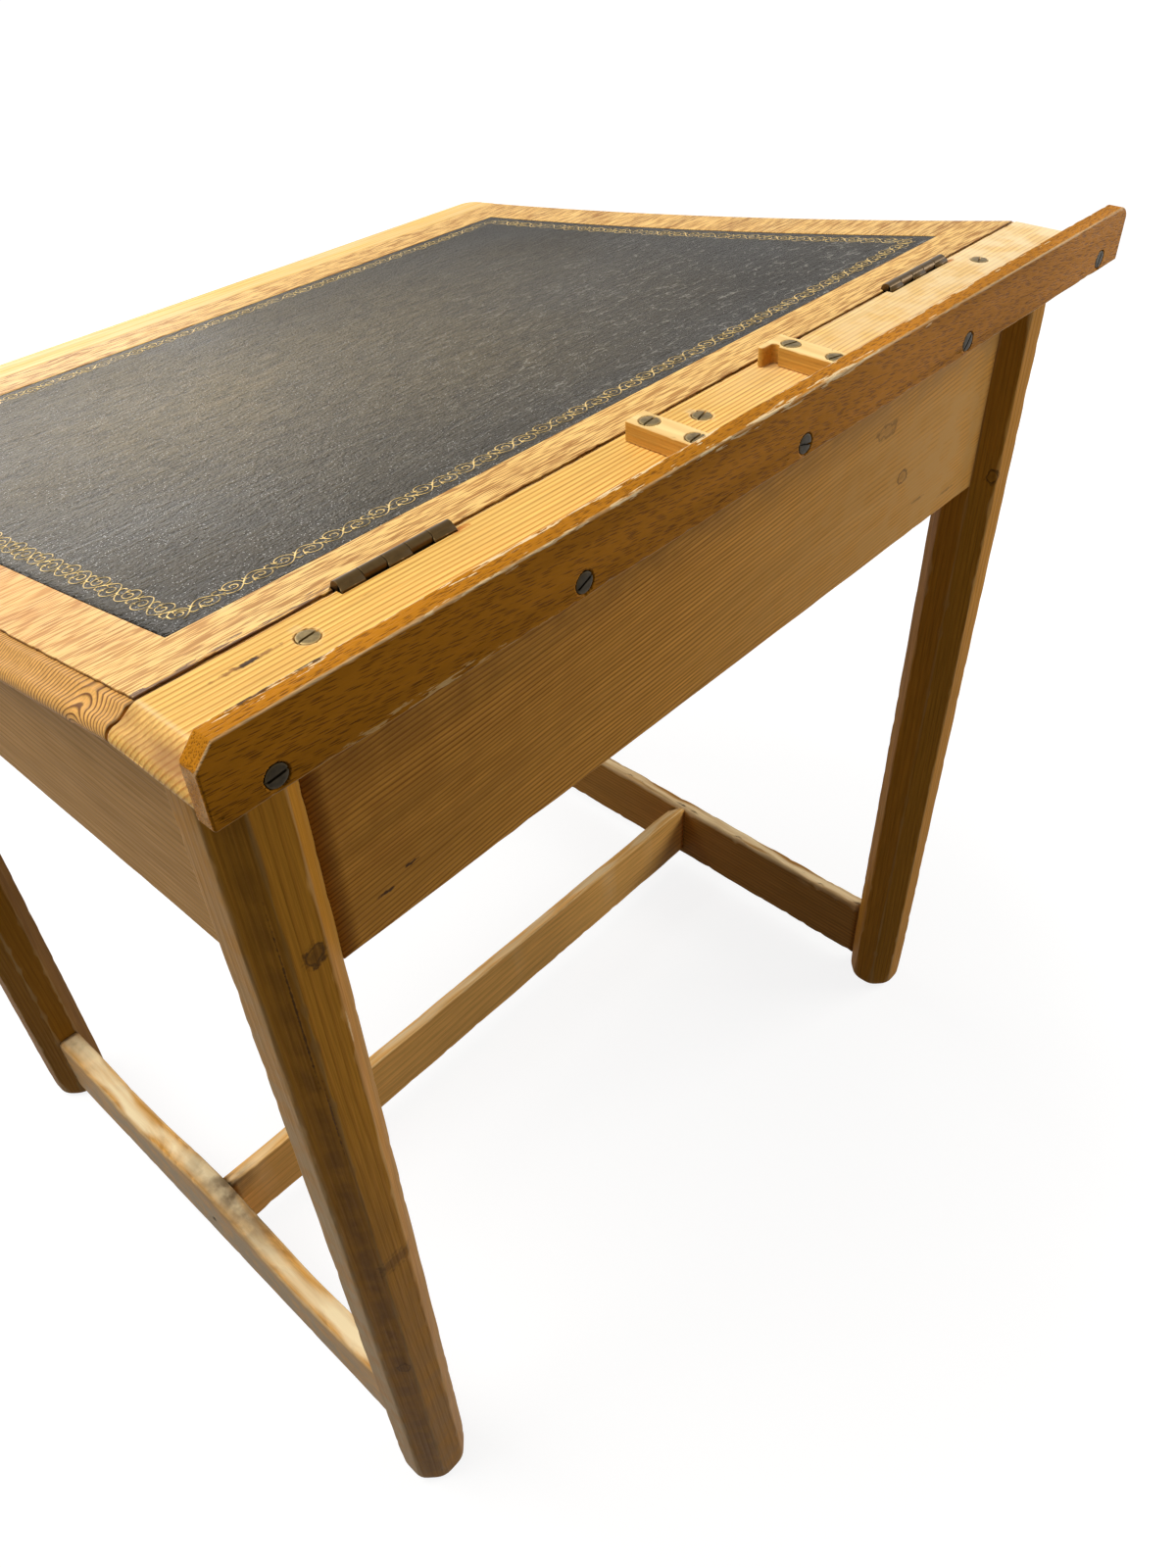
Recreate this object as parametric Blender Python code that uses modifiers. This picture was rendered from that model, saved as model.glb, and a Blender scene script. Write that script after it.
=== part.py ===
"""Slope-top school writing desk with a hinged lid, a chamfered leg frame and an H stretcher.

Metres, +Z up. The sitter is on the -Y side and faces +Y, so the hinge rail and its lip are at +Y.
The frame is laid out about the middle of the four legs, and the whole desk is then shifted so that
its bounding box is centred over the origin, with the feet on Z = 0.
"""

import math

import bmesh
import bpy
import numpy as np
from mathutils import Matrix, Vector

# Clearance between two pieces that touch on the real desk
FIT = 0.0003

# Leg frame
SPAN_X = 0.600  # over the outer faces of the legs
SPAN_Y = 0.504  # from the rear faces of the rear legs to the front faces of the front legs
TOP_HEIGHT = 0.663  # floor to the top of the hinge rail
LEG_SIDE = 0.041
LEG_CHAMFER = 0.012
FOOT_ROUND = 0.006

# Panels round the compartment
PANEL = 0.013
PANEL_DEPTH = 0.149  # top of the hinge rail to the lower edge of the panels
PANEL_TENON = 0.006
PANEL_TENON_LENGTH = 0.014
PANEL_TENON_SHOULDER = 0.012

# Floor of the compartment
CLEAT = 0.014
CLEAT_RAISE = 0.003  # cleats sit this far above the panels' lower edges
BOTTOM_BOARD = 0.008

# H stretcher, with top edges that feet have worn down
STRETCHER_WIDTH = 0.0175
STRETCHER_ROUND = 0.0025
STRETCHER_TENON = 0.008
STRETCHER_TENON_LENGTH = 0.014
STRETCHER_TENON_SHOULDER = 0.012
SIDE_STRETCHER_BOTTOM = 0.017
SIDE_STRETCHER_HEIGHT = 0.061  # at its inner top edge beside a leg
SIDE_STRETCHER_SLANT = 0.006  # fall of the worn top from its inner to its outer edge
JOINT_RISE = 0.007  # unworn top of the +X stretcher beside the cross stretcher
HOLLOW = 0.006  # deepest wear in each half of the +X stretcher
CROSS_STRETCHER_BOTTOM = 0.023
CROSS_STRETCHER_HEIGHT = 0.058
CROSS_STRETCHER_SLANT = 0.0125  # fall of the worn top from its rear to its front edge

# Top boards and the ogee worked on their ends
BOARD = 0.0134
ARRIS_INSET = 0.0028  # top arris of rail and lid, inside the legs' outer faces
OGEE_OUT = 0.0131
OGEE_STEP = 0.0045  # fall of the ogee down to its round nose
OGEE_STRAIGHT = 0.4  # share of the ogee's fall that is an even slope

# Hinge rail and the lip screwed to its rear edge
RAIL_DEPTH = 0.049
RAIL_OVERHANG = 0.0155  # past the rear faces of the legs
LIP_THICKNESS = 0.0095
LIP_HEIGHT = 0.0318
LIP_OVERHANG = 0.0007  # past the rail's moulded ends
LIP_TAPER = 0.0018  # planed lower at the -X end
LIP_CLIP = 0.0075  # corner cut off at the +X end
LIP_ROUND = 0.009  # corner rounded at the -X end

# Blocks on the rail
BLOCK_WIDTH = 0.013
BLOCK_HEIGHT = 0.0093
BLOCK_PLACES = {"right": 0.0535, "left": -0.0495}
BLOCK_SETBACK = {"right": 0.0050, "left": 0.0028}  # front end behind the rail's front edge
HOOK_OUT = 0.006  # nose on the left block, with a round notch behind it
HOOK_NOSE = 0.0034
HOOK_NOTCH = 0.0024

# Lid
LID_GAP = 0.0018
LID_SLOPE = math.radians(8.66)
LID_CUP = 0.004  # hollow across the width, where the boards have cupped
LID_FRONT_ARRIS = 0.0045  # front arris past the front faces of the legs
NOSING_FLAT = 0.0282  # flat top of the front strip, behind its ogee
NOSING_CORNER = 0.010  # plan radius of the front strip's top arris at its two corners
VENEER = 0.0010
LEATHER = 0.0008
LEATHER_MARGIN_RIGHT = 0.0300
LEATHER_MARGIN_LEFT = 0.0345
LEATHER_MARGIN_REAR = 0.0293
LEATHER_MARGIN_FRONT = 0.0338

# Butt hinges
HINGE_LENGTH = 0.057
HINGE_FROM_ARRIS = 0.112  # rail end arris to the middle of the hinge
BARREL_RADIUS = 0.0030
BARREL_RAISE = 0.0004  # pin's middle above the rail's top
PIN_RADIUS = 0.0014
LEAF = 0.0015
LEAF_HEIGHT = 0.0110  # below the rail's top
LEAF_TO_LEAF = 0.0003
KNUCKLES = 5

# Slotted countersunk wood screws
SCREW_HEAD = 0.0045
SCREW_HEAD_DEPTH = 0.0026
SCREW_SHANK = 0.0020
SCREW_TIP = 0.004
SCREW_SUNK = 0.0002
SLOT_WIDTH = 0.0011
SLOT_DEPTH = 0.0012
LIP_SCREW_LENGTH = 0.030
LIP_SCREW_FROM_ENDS = (0.0247, 0.0252)  # in from the lip's +X and -X ends
LIP_SCREW_STRAYS = (0, 0.0019, 0.0022, 0.0045, 0)  # placed by eye, off an even spacing
LIP_SCREW_TURNS = (0.1, 0.4, -0.3, 0.9, 1.3)  # of the slots, from along X
RAIL_SCREW_LENGTH = 0.032
RAIL_SCREW_FROM_LEGS = (0.0204, 0.0315)  # in from the inner faces of the +X and -X legs
RAIL_SCREW_STRAYS = (0, 0.0140, 0)
RAIL_SCREW_TURNS = (0.1, 0.25, 0.35)
BLOCK_SCREW_LENGTH = 0.019
BLOCK_SCREW_FROM_FRONT = 0.0133  # in from the rail's front edge
BLOCK_SCREW_FROM_REAR = 0.0108
BLOCK_SCREW_TURN = {"right": 0.1, "left": -0.3}
HINGE_SCREW_HEAD = 0.0026
HINGE_SCREW_HEAD_DEPTH = 0.0009
HINGE_SCREW_SHANK = 0.0012
HINGE_SCREW_TIP = 0.003
HINGE_SCREW_LENGTH = 0.012
HINGE_SCREW_SLOT = 0.0007
HINGE_SCREW_SLOT_DEPTH = 0.0005
HINGE_SCREW_COUNT = 2
HINGE_SCREW_TURN = 0.7
NAIL_RADIUS = 0.0022
NAIL_LENGTH = 0.036

# Fineness of curved shapes
LID_STATIONS = 9
OGEE_STEPS = 6
NOSE_STEPS = 6
ROUND_STEPS = 6
WEAR_STEPS = 6
CORNER_STEPS = 6
TURNED_STEPS = 12
BARREL_STEPS = 20
QUARTER_ROUND = 0.5  # bevel profile of a true round

# Places that follow from the sizes above
REAR_FACE = SPAN_Y / 2
FRONT_FACE = -SPAN_Y / 2
LEG_X = SPAN_X / 2 - LEG_SIDE / 2
LEG_Y = SPAN_Y / 2 - LEG_SIDE / 2
INNER_X = SPAN_X / 2 - LEG_SIDE
INNER_Y = SPAN_Y / 2 - LEG_SIDE
PANEL_X = SPAN_X / 2 - LEG_CHAMFER - PANEL / 2
PANEL_Y = SPAN_Y / 2 - LEG_CHAMFER - PANEL / 2
ARRIS_X = SPAN_X / 2 - ARRIS_INSET
BOARD_END = ARRIS_X + OGEE_OUT
PANEL_BOTTOM = TOP_HEIGHT - PANEL_DEPTH
RAIL_UNDER = TOP_HEIGHT - BOARD
RAIL_REAR = REAR_FACE + RAIL_OVERHANG
RAIL_FRONT = RAIL_REAR - RAIL_DEPTH
LIP_REAR = RAIL_REAR + FIT + LIP_THICKNESS
LIP_END = BOARD_END + LIP_OVERHANG
LIP_TOP = RAIL_UNDER + LIP_HEIGHT
LID_REAR = RAIL_FRONT - LID_GAP
FRONT_ARRIS = FRONT_FACE - LID_FRONT_ARRIS
LID_FRONT = FRONT_ARRIS - OGEE_OUT
NOSING_REAR = FRONT_ARRIS + NOSING_FLAT
AXIS_Y = (RAIL_FRONT + LID_REAR) / 2
AXIS_Z = TOP_HEIGHT + BARREL_RAISE
LID_RUN = LID_REAR - FRONT_ARRIS
LID_FALL = LID_RUN * math.tan(LID_SLOPE)
CENTRE_SHIFT = -(LIP_REAR + LID_FRONT) / 2
LEG_CORNERS = [
    ("rear_right", 1, 1),
    ("rear_left", -1, 1),
    ("front_right", 1, -1),
    ("front_left", -1, -1),
]


def lid_top(y):
    """Height of the lid's top surface: an even fall to the front, hollowed by the cup."""
    t = (LID_REAR - y) / LID_RUN
    return TOP_HEIGHT - LID_FALL * t - 4 * LID_CUP * t * (1 - t)


def lid_under(y):
    return lid_top(y) - BOARD


def lid_stations(start, end, count):
    return [start + (end - start) * i / (count - 1) for i in range(count)]


def screw_places(reach, insets, strays):
    """X places of a row of screws from +reach to -reach, less the insets, with each one's stray."""
    first = reach - insets[0]
    step = (2 * reach - sum(insets)) / (len(strays) - 1)
    return [first - step * i + stray for i, stray in enumerate(strays)]


# Scene and placing helpers
def clear_scene():
    for obj in list(bpy.data.objects):
        bpy.data.objects.remove(obj, do_unlink=True)


def new_collection(name):
    collection = bpy.data.collections.new(name)
    bpy.context.scene.collection.children.link(collection)
    return collection


def new_material(name, colour, roughness, metallic=0.0):
    material = bpy.data.materials.new(name)
    material.use_nodes = True
    shader = material.node_tree.nodes["Principled BSDF"]
    shader.inputs["Base Color"].default_value = (*colour, 1.0)
    shader.inputs["Roughness"].default_value = roughness
    shader.inputs["Metallic"].default_value = metallic
    return material


clear_scene()
DESK = new_collection("writing_desk")
CUTTERS = new_collection("cutters")
PINE = new_material("pine", (0.40, 0.21, 0.07), 0.45)
LIT_PINE = new_material("pine_top", (0.72, 0.42, 0.14), 0.45)
BEECH = new_material("beech", (0.45, 0.22, 0.07), 0.45)
OAK = new_material("oak_veneer", (0.75, 0.45, 0.16), 0.45)
BLACK_LEATHER = new_material("black_leather", (0.05, 0.05, 0.055), 0.5)
STEEL = new_material("bronzed_steel", (0.16, 0.12, 0.08), 0.4, 0.9)
BRASS = new_material("dull_brass", (0.42, 0.33, 0.20), 0.4, 0.9)

ROOT = bpy.data.objects.new("desk", None)
ROOT.location = (0, CENTRE_SHIFT, 0)
DESK.objects.link(ROOT)
PIVOT = bpy.data.objects.new("lid_pivot", None)
PIVOT.parent = ROOT
PIVOT.location = (0, AXIS_Y, AXIS_Z)
DESK.objects.link(PIVOT)


def put(name, mesh, material, at=(0, 0, 0), turn=(0, 0, 0), parent=ROOT):
    """Adds a piece. Its place is given in the leg frame's coordinates, whatever it is parented to."""
    obj = bpy.data.objects.new(name, mesh)
    mesh.materials.append(material)
    obj.parent = parent
    obj.location = Vector(at) - (PIVOT.location if parent == PIVOT else Vector())
    obj.rotation_euler = turn
    DESK.objects.link(obj)
    return obj


def helper(name, mesh, at=(0, 0, 0), turn=(0, 0, 0)):
    """A shape that only cuts or joins."""
    obj = bpy.data.objects.new(name, mesh)
    obj.parent = ROOT
    obj.location = at
    obj.rotation_euler = turn
    obj.hide_render = True
    obj.display_type = "WIRE"
    CUTTERS.objects.link(obj)
    return obj


def boolean(obj, other, operation):
    modifier = obj.modifiers.new(operation.lower(), "BOOLEAN")
    modifier.operation = operation
    modifier.object = other


def cut(obj, other):
    boolean(obj, other, "DIFFERENCE")


# Mesh helpers
def box_mesh(name, size):
    mesh = bpy.data.meshes.new(name)
    bm = bmesh.new()
    bmesh.ops.create_cube(bm, size=1.0, matrix=Matrix.Diagonal((*size, 1.0)))
    bm.to_mesh(mesh)
    bm.free()
    return mesh


def outline_mesh(name, points, thickness):
    """A flat outline in local X and Y, given its thickness along local Z."""
    curve = bpy.data.curves.new(name, "CURVE")
    curve.dimensions = "2D"
    curve.fill_mode = "BOTH"
    curve.extrude = thickness / 2
    spline = curve.splines.new("POLY")
    spline.points.add(len(points) - 1)
    spline.points.foreach_set("co", np.array([(x, y, 0, 1) for x, y in points]).ravel())
    spline.use_cyclic_u = True
    source = bpy.data.objects.new(name, curve)
    CUTTERS.objects.link(source)
    bpy.context.view_layer.update()
    graph = bpy.context.evaluated_depsgraph_get()
    mesh = bpy.data.meshes.new_from_object(source.evaluated_get(graph))
    bpy.data.objects.remove(source, do_unlink=True)
    bpy.data.curves.remove(curve)
    bm = bmesh.new()
    bm.from_mesh(mesh)
    bmesh.ops.remove_doubles(bm, verts=bm.verts, dist=1e-6)
    bmesh.ops.recalc_face_normals(bm, faces=bm.faces)
    bm.to_mesh(mesh)
    bm.free()
    return mesh


def sweep_mesh(name, section, path):
    """A section in X and Z carried along a path of (y, z) points without turning."""
    mesh = bpy.data.meshes.new(name)
    bm = bmesh.new()
    y, z = path[0]
    face = bm.faces.new([bm.verts.new((sx, y, sz + z)) for sx, sz in section])
    for next_y, next_z in path[1:]:
        made = bmesh.ops.extrude_face_region(bm, geom=[face])["geom"]
        verts = [v for v in made if isinstance(v, bmesh.types.BMVert)]
        bmesh.ops.translate(bm, verts=verts, vec=(0, next_y - y, next_z - z))
        if (y, z) != path[0]:
            bmesh.ops.delete(bm, geom=[face], context="FACES_ONLY")
        face = next(f for f in made if isinstance(f, bmesh.types.BMFace))
        y, z = next_y, next_z
    bmesh.ops.recalc_face_normals(bm, faces=bm.faces)
    bm.to_mesh(mesh)
    bm.free()
    return mesh


def loft_mesh(name, rings):
    """Closed skin over rings of points that run the same way round, with both ends capped."""
    mesh = bpy.data.meshes.new(name)
    bm = bmesh.new()
    loops = [[bm.verts.new(point) for point in ring] for ring in rings]
    count = len(rings[0])
    for a, b in zip(loops, loops[1:]):
        for i in range(count):
            j = (i + 1) % count
            bm.faces.new((a[i], a[j], b[j], b[i]))
    bm.faces.new(loops[0])
    bm.faces.new(loops[-1])
    bmesh.ops.recalc_face_normals(bm, faces=bm.faces)
    bm.to_mesh(mesh)
    bm.free()
    return mesh


def turned(obj, steps):
    """Turns a profile in local X and Z about local Z."""
    modifier = obj.modifiers.new("turn", "SCREW")
    modifier.angle = 2 * math.pi
    modifier.steps = steps
    modifier.render_steps = steps
    modifier.use_merge_vertices = True
    modifier.merge_threshold = 1e-6


def profile_mesh(name, points):
    mesh = bpy.data.meshes.new(name)
    edges = [(i, i + 1) for i in range(len(points) - 1)]
    mesh.from_pydata([(r, 0, z) for r, z in points], edges, [])
    return mesh


# Turns that lay an outline's local X, Y and thickness along the desk's axes
FRONTAL = (math.pi / 2, 0, 0)  # X, Z, thickness along Y
SIDEWAYS = (math.pi / 2, 0, math.pi / 2)  # Y, Z, thickness along X
FACING_REAR = (-math.pi / 2, 0, 0)
FACING_FRONT = (math.pi / 2, 0, 0)


def ogee(start=0.0):
    """(out, down) points of the moulded end from depth start: an S curve, then a half-round nose."""
    nose = (BOARD - OGEE_STEP) / 2
    t = np.linspace(0, 1, OGEE_STEPS + 1)
    out = t * (OGEE_OUT - nose)
    down = OGEE_STEP * (OGEE_STRAIGHT * t + (1 - OGEE_STRAIGHT) * (1 - np.cos(math.pi * t)) / 2)
    points = [(float(np.interp(start, down, out)), start)]
    points += [(float(o), float(d)) for o, d in zip(out, down) if d > start]
    for i in range(1, NOSE_STEPS + 1):
        a = math.pi / 2 - math.pi * i / NOSE_STEPS
        points.append((OGEE_OUT - nose + nose * math.cos(a), OGEE_STEP + nose - nose * math.sin(a)))
    return points


def moulded_section(start=0.0):
    """Cross-section of a top board in X and Z, with its top arris at height 0."""
    right = [(ARRIS_X + out, -down) for out, down in ogee(start)]
    left = [(-x, z) for x, z in reversed(right)]
    return right + left


# Fastenings
def screw_points(head, head_depth, shank, tip, length, slack=0.0, above=0.0):
    """Profile of a countersunk wood screw, its head face at height 0."""
    start = [(0, above), (head + slack, above)]
    if above:
        start.append((head + slack, 0))
    return start + [
        (shank + slack, -head_depth),
        (shank + slack, tip - length),
        (0, -length - slack),
    ]


def screw(name, at, turn, size, slot, spin, material, through, parent=ROOT):
    """A slotted screw, with its hole sunk in every piece that it goes through."""
    obj = put(name, profile_mesh(name, screw_points(*size)), material, at, turn, parent)
    turned(obj, TURNED_STEPS)
    slot_width, slot_depth = slot
    head = size[0]
    blade = box_mesh(name + "_slot", (3 * head, slot_width, 2 * slot_depth))
    blade.transform(Matrix.Rotation(spin, 4, "Z"))
    cut(obj, helper(name + "_slot", blade, at, turn))
    bore = profile_mesh(name + "_bore", screw_points(*size, slack=FIT, above=head))
    hole = helper(name + "_bore", bore, at, turn)
    turned(hole, TURNED_STEPS)
    for piece in through:
        cut(piece, hole)
    return obj


WOOD_SCREW = (SCREW_HEAD, SCREW_HEAD_DEPTH, SCREW_SHANK, SCREW_TIP)
WOOD_SLOT = (SLOT_WIDTH, SLOT_DEPTH)
HINGE_SCREW = (
    HINGE_SCREW_HEAD,
    HINGE_SCREW_HEAD_DEPTH,
    HINGE_SCREW_SHANK,
    HINGE_SCREW_TIP,
    HINGE_SCREW_LENGTH,
)
HINGE_SLOT = (HINGE_SCREW_SLOT, HINGE_SCREW_SLOT_DEPTH)


def tenons(piece, name, size, at, sockets):
    """Joins a tenon bar through a piece, and cuts its mortises, a clearance larger, in the sockets."""
    boolean(piece, helper(name + "_tenon", box_mesh(name + "_tenon", size), at), "UNION")
    loose = [side + 2 * FIT for side in size]
    mortise = helper(name + "_mortise", box_mesh(name + "_mortise", loose), at)
    for socket in sockets:
        cut(socket, mortise)


# Leg frame
def make_legs():
    legs = {}
    height = RAIL_UNDER - FIT
    for corner, sx, sy in LEG_CORNERS:
        name = "leg_" + corner
        mesh = box_mesh(name, (LEG_SIDE, LEG_SIDE, height))
        bm = bmesh.new()
        bm.from_mesh(mesh)
        upright = [e for e in bm.edges if abs(e.verts[0].co.z - e.verts[1].co.z) > height / 2]
        bmesh.ops.bevel(bm, geom=upright, offset=LEG_CHAMFER, segments=1, affect="EDGES")
        foot = [e for e in bm.edges if max(v.co.z for v in e.verts) < 0]
        bmesh.ops.bevel(bm, geom=foot, offset=FOOT_ROUND, segments=2, profile=QUARTER_ROUND, affect="EDGES")
        bm.to_mesh(mesh)
        bm.free()
        legs[corner] = put(name, mesh, PINE, (sx * LEG_X, sy * LEG_Y, height / 2))
    return legs


def lid_space():
    """Everything above the closed lid's underside, less a clearance: it shapes what the lid shuts on."""
    front = LID_FRONT - BOARD
    top = TOP_HEIGHT + BOARD
    under = [(y, lid_under(y) - FIT) for y in lid_stations(LID_REAR, FRONT_ARRIS, LID_STATIONS)]
    points = [(RAIL_FRONT, top), (RAIL_FRONT, under[0][1])] + under + [(front, under[-1][1]), (front, top)]
    return helper("lid_space", outline_mesh("lid_space", points, SPAN_X + 2 * BOARD), turn=SIDEWAYS)


def make_panels(legs, space):
    """Rear, front and side panels, set in from the legs' faces by the chamfer and tenoned into the legs."""
    rear_top = RAIL_UNDER - FIT
    front_top = lid_under(-PANEL_Y - PANEL / 2)
    tenon_bottom = PANEL_BOTTOM + PANEL_TENON_SHOULDER
    panels = {}
    for name, sy, top in (("rear_panel", 1, rear_top), ("front_panel", -1, lid_under(-PANEL_Y))):
        size = (2 * (INNER_X - FIT), PANEL, top - PANEL_BOTTOM)
        at = (0, sy * PANEL_Y, (top + PANEL_BOTTOM) / 2)
        panels[name] = put(name, box_mesh(name, size), PINE, at)
        tenon_top = (rear_top if sy > 0 else front_top) - PANEL_TENON_SHOULDER
        bar = (2 * (INNER_X + PANEL_TENON_LENGTH), PANEL_TENON, tenon_top - tenon_bottom)
        ends = [leg for corner, leg in legs.items() if corner.startswith("rear" if sy > 0 else "front")]
        tenons(panels[name], name, bar, (0, sy * PANEL_Y, (tenon_top + tenon_bottom) / 2), ends)
    cut(panels["front_panel"], space)
    tenon_top = front_top - PANEL_TENON_SHOULDER
    for side, sx in (("right", 1), ("left", -1)):
        name = "side_panel_" + side
        size = (PANEL, 2 * (INNER_Y - FIT), rear_top - PANEL_BOTTOM)
        at = (sx * PANEL_X, 0, (rear_top + PANEL_BOTTOM) / 2)
        panels[name] = put(name, box_mesh(name, size), PINE, at)
        cut(panels[name], space)
        bar = (PANEL_TENON, 2 * (INNER_Y + PANEL_TENON_LENGTH), tenon_top - tenon_bottom)
        ends = [leg for corner, leg in legs.items() if corner.endswith(side)]
        tenons(panels[name], name, bar, (sx * PANEL_X, 0, (tenon_top + tenon_bottom) / 2), ends)
    return panels


def make_bottom():
    """Board on four cleats, notched at its corners round the legs."""
    in_x = PANEL_X - PANEL / 2 - FIT
    in_y = PANEL_Y - PANEL / 2 - FIT
    leg_x = INNER_X - FIT
    leg_y = INNER_Y - FIT
    quarter = [(in_x, leg_y), (leg_x, leg_y), (leg_x, in_y)]
    outline = quarter + [(-x, y) for x, y in reversed(quarter)]
    outline += [(-x, -y) for x, y in outline]
    cleat_bottom = PANEL_BOTTOM + CLEAT_RAISE
    board_z = cleat_bottom + CLEAT + FIT + BOTTOM_BOARD / 2
    put("bottom_board", outline_mesh("bottom_board", outline, BOTTOM_BOARD), PINE, (0, 0, board_z))
    z = cleat_bottom + CLEAT / 2
    for name, sy in (("cleat_rear", 1), ("cleat_front", -1)):
        size = (2 * (leg_x - CLEAT), CLEAT, CLEAT)
        put(name, box_mesh(name, size), PINE, (0, sy * (in_y - CLEAT / 2), z))
    for name, sx in (("cleat_right", 1), ("cleat_left", -1)):
        size = (CLEAT, 2 * leg_y, CLEAT)
        put(name, box_mesh(name, size), PINE, (sx * (in_x - CLEAT / 2), 0, z))


# H stretcher
def worn_section(bottom, high, low):
    """Section across a stretcher as (across, z): its top slants from the high edge to the low one."""
    half = STRETCHER_WIDTH / 2
    ease = STRETCHER_ROUND
    return [
        (-half, bottom),
        (half, bottom),
        (half, low - ease),
        (half - ease, low),
        (ease - half, high),
        (-half, high - ease),
    ]


def side_stretcher_mesh(name, sx, worn):
    """Rings along Y. The worn one rises beside the cross stretcher and is hollow in each half."""
    reach = INNER_Y - FIT
    top = SIDE_STRETCHER_BOTTOM + SIDE_STRETCHER_HEIGHT
    rings = []
    for i in range(-WEAR_STEPS, WEAR_STEPS + 1):
        s = i / WEAR_STEPS
        wave = (1 - math.cos(2 * math.pi * s)) / 2
        rise = 1 - wave if abs(s) < 0.5 else 0.0
        inner = top + worn * (JOINT_RISE * rise - HOLLOW * wave)
        outer = inner - SIDE_STRETCHER_SLANT * (wave if worn else 1.0)
        section = worn_section(SIDE_STRETCHER_BOTTOM, inner, outer)
        rings.append([(sx * x, reach * s, z) for x, z in section])
    return loft_mesh(name, rings)


def make_stretchers(legs):
    tenon_bottom = SIDE_STRETCHER_BOTTOM + STRETCHER_TENON_SHOULDER
    height = SIDE_STRETCHER_HEIGHT - SIDE_STRETCHER_SLANT - 2 * STRETCHER_TENON_SHOULDER
    bar = (STRETCHER_TENON, 2 * (INNER_Y + STRETCHER_TENON_LENGTH), height)
    sides = {}
    for side, sx, worn in (("right", 1, 1.0), ("left", -1, 0.0)):
        name = "stretcher_" + side
        mesh = side_stretcher_mesh(name, sx, worn)
        sides[side] = put(name, mesh, PINE, (sx * LEG_X, 0, 0))
        ends = [leg for corner, leg in legs.items() if corner.endswith(side)]
        tenons(sides[side], name, bar, (sx * LEG_X, 0, tenon_bottom + height / 2), ends)
    make_cross_stretcher(sides)


def make_cross_stretcher(sides):
    face = LEG_X - STRETCHER_WIDTH / 2
    top = CROSS_STRETCHER_BOTTOM + CROSS_STRETCHER_HEIGHT
    section = worn_section(CROSS_STRETCHER_BOTTOM, top, top - CROSS_STRETCHER_SLANT)
    rings = [[(x, -across, z) for across, z in section] for x in (face - FIT, FIT - face)]
    cross = put("cross_stretcher", loft_mesh("cross_stretcher", rings), PINE)
    height = CROSS_STRETCHER_HEIGHT - CROSS_STRETCHER_SLANT - 2 * STRETCHER_TENON_SHOULDER
    middle = CROSS_STRETCHER_BOTTOM + STRETCHER_TENON_SHOULDER + height / 2
    bar = (2 * face + STRETCHER_WIDTH, STRETCHER_TENON, height)
    tenons(cross, "cross_stretcher", bar, (0, 0, middle), sides.values())
    for side, sx in (("right", 1), ("left", -1)):
        name = "stretcher_nail_" + side
        head = sx * (LEG_X + STRETCHER_WIDTH / 2)
        at = (head - sx * NAIL_LENGTH / 2, 0, middle)
        put(name, rod_mesh(name, NAIL_RADIUS, NAIL_LENGTH), STEEL, at)
        hole = rod_mesh(name + "_hole", NAIL_RADIUS + FIT, NAIL_LENGTH + 2 * FIT)
        bore = helper(name + "_hole", hole, at)
        cut(sides[side], bore)
        cut(cross, bore)


def rod_mesh(name, radius, length, steps=TURNED_STEPS):
    """A round rod along X."""
    mesh = bpy.data.meshes.new(name)
    bm = bmesh.new()
    bmesh.ops.create_cone(
        bm,
        cap_ends=True,
        segments=steps,
        radius1=radius,
        radius2=radius,
        depth=length,
        matrix=Matrix.Rotation(math.pi / 2, 4, "Y"),
    )
    bm.to_mesh(mesh)
    bm.free()
    return mesh


# Hinge rail, lip and blocks
def make_rail(panels):
    path = [(RAIL_REAR, TOP_HEIGHT), (RAIL_FRONT, TOP_HEIGHT)]
    rail = put("hinge_rail", sweep_mesh("hinge_rail", moulded_section(), path), LIT_PINE)
    size = (*WOOD_SCREW, RAIL_SCREW_LENGTH)
    through = (rail, panels["rear_panel"])
    places = screw_places(INNER_X, RAIL_SCREW_FROM_LEGS, RAIL_SCREW_STRAYS)
    for i, (x, spin) in enumerate(zip(places, RAIL_SCREW_TURNS)):
        place = (x, PANEL_Y, TOP_HEIGHT - SCREW_SUNK)
        screw(f"rail_screw_{i + 1}", place, (0, 0, 0), size, WOOD_SLOT, spin, BRASS, through)
    return rail


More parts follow.
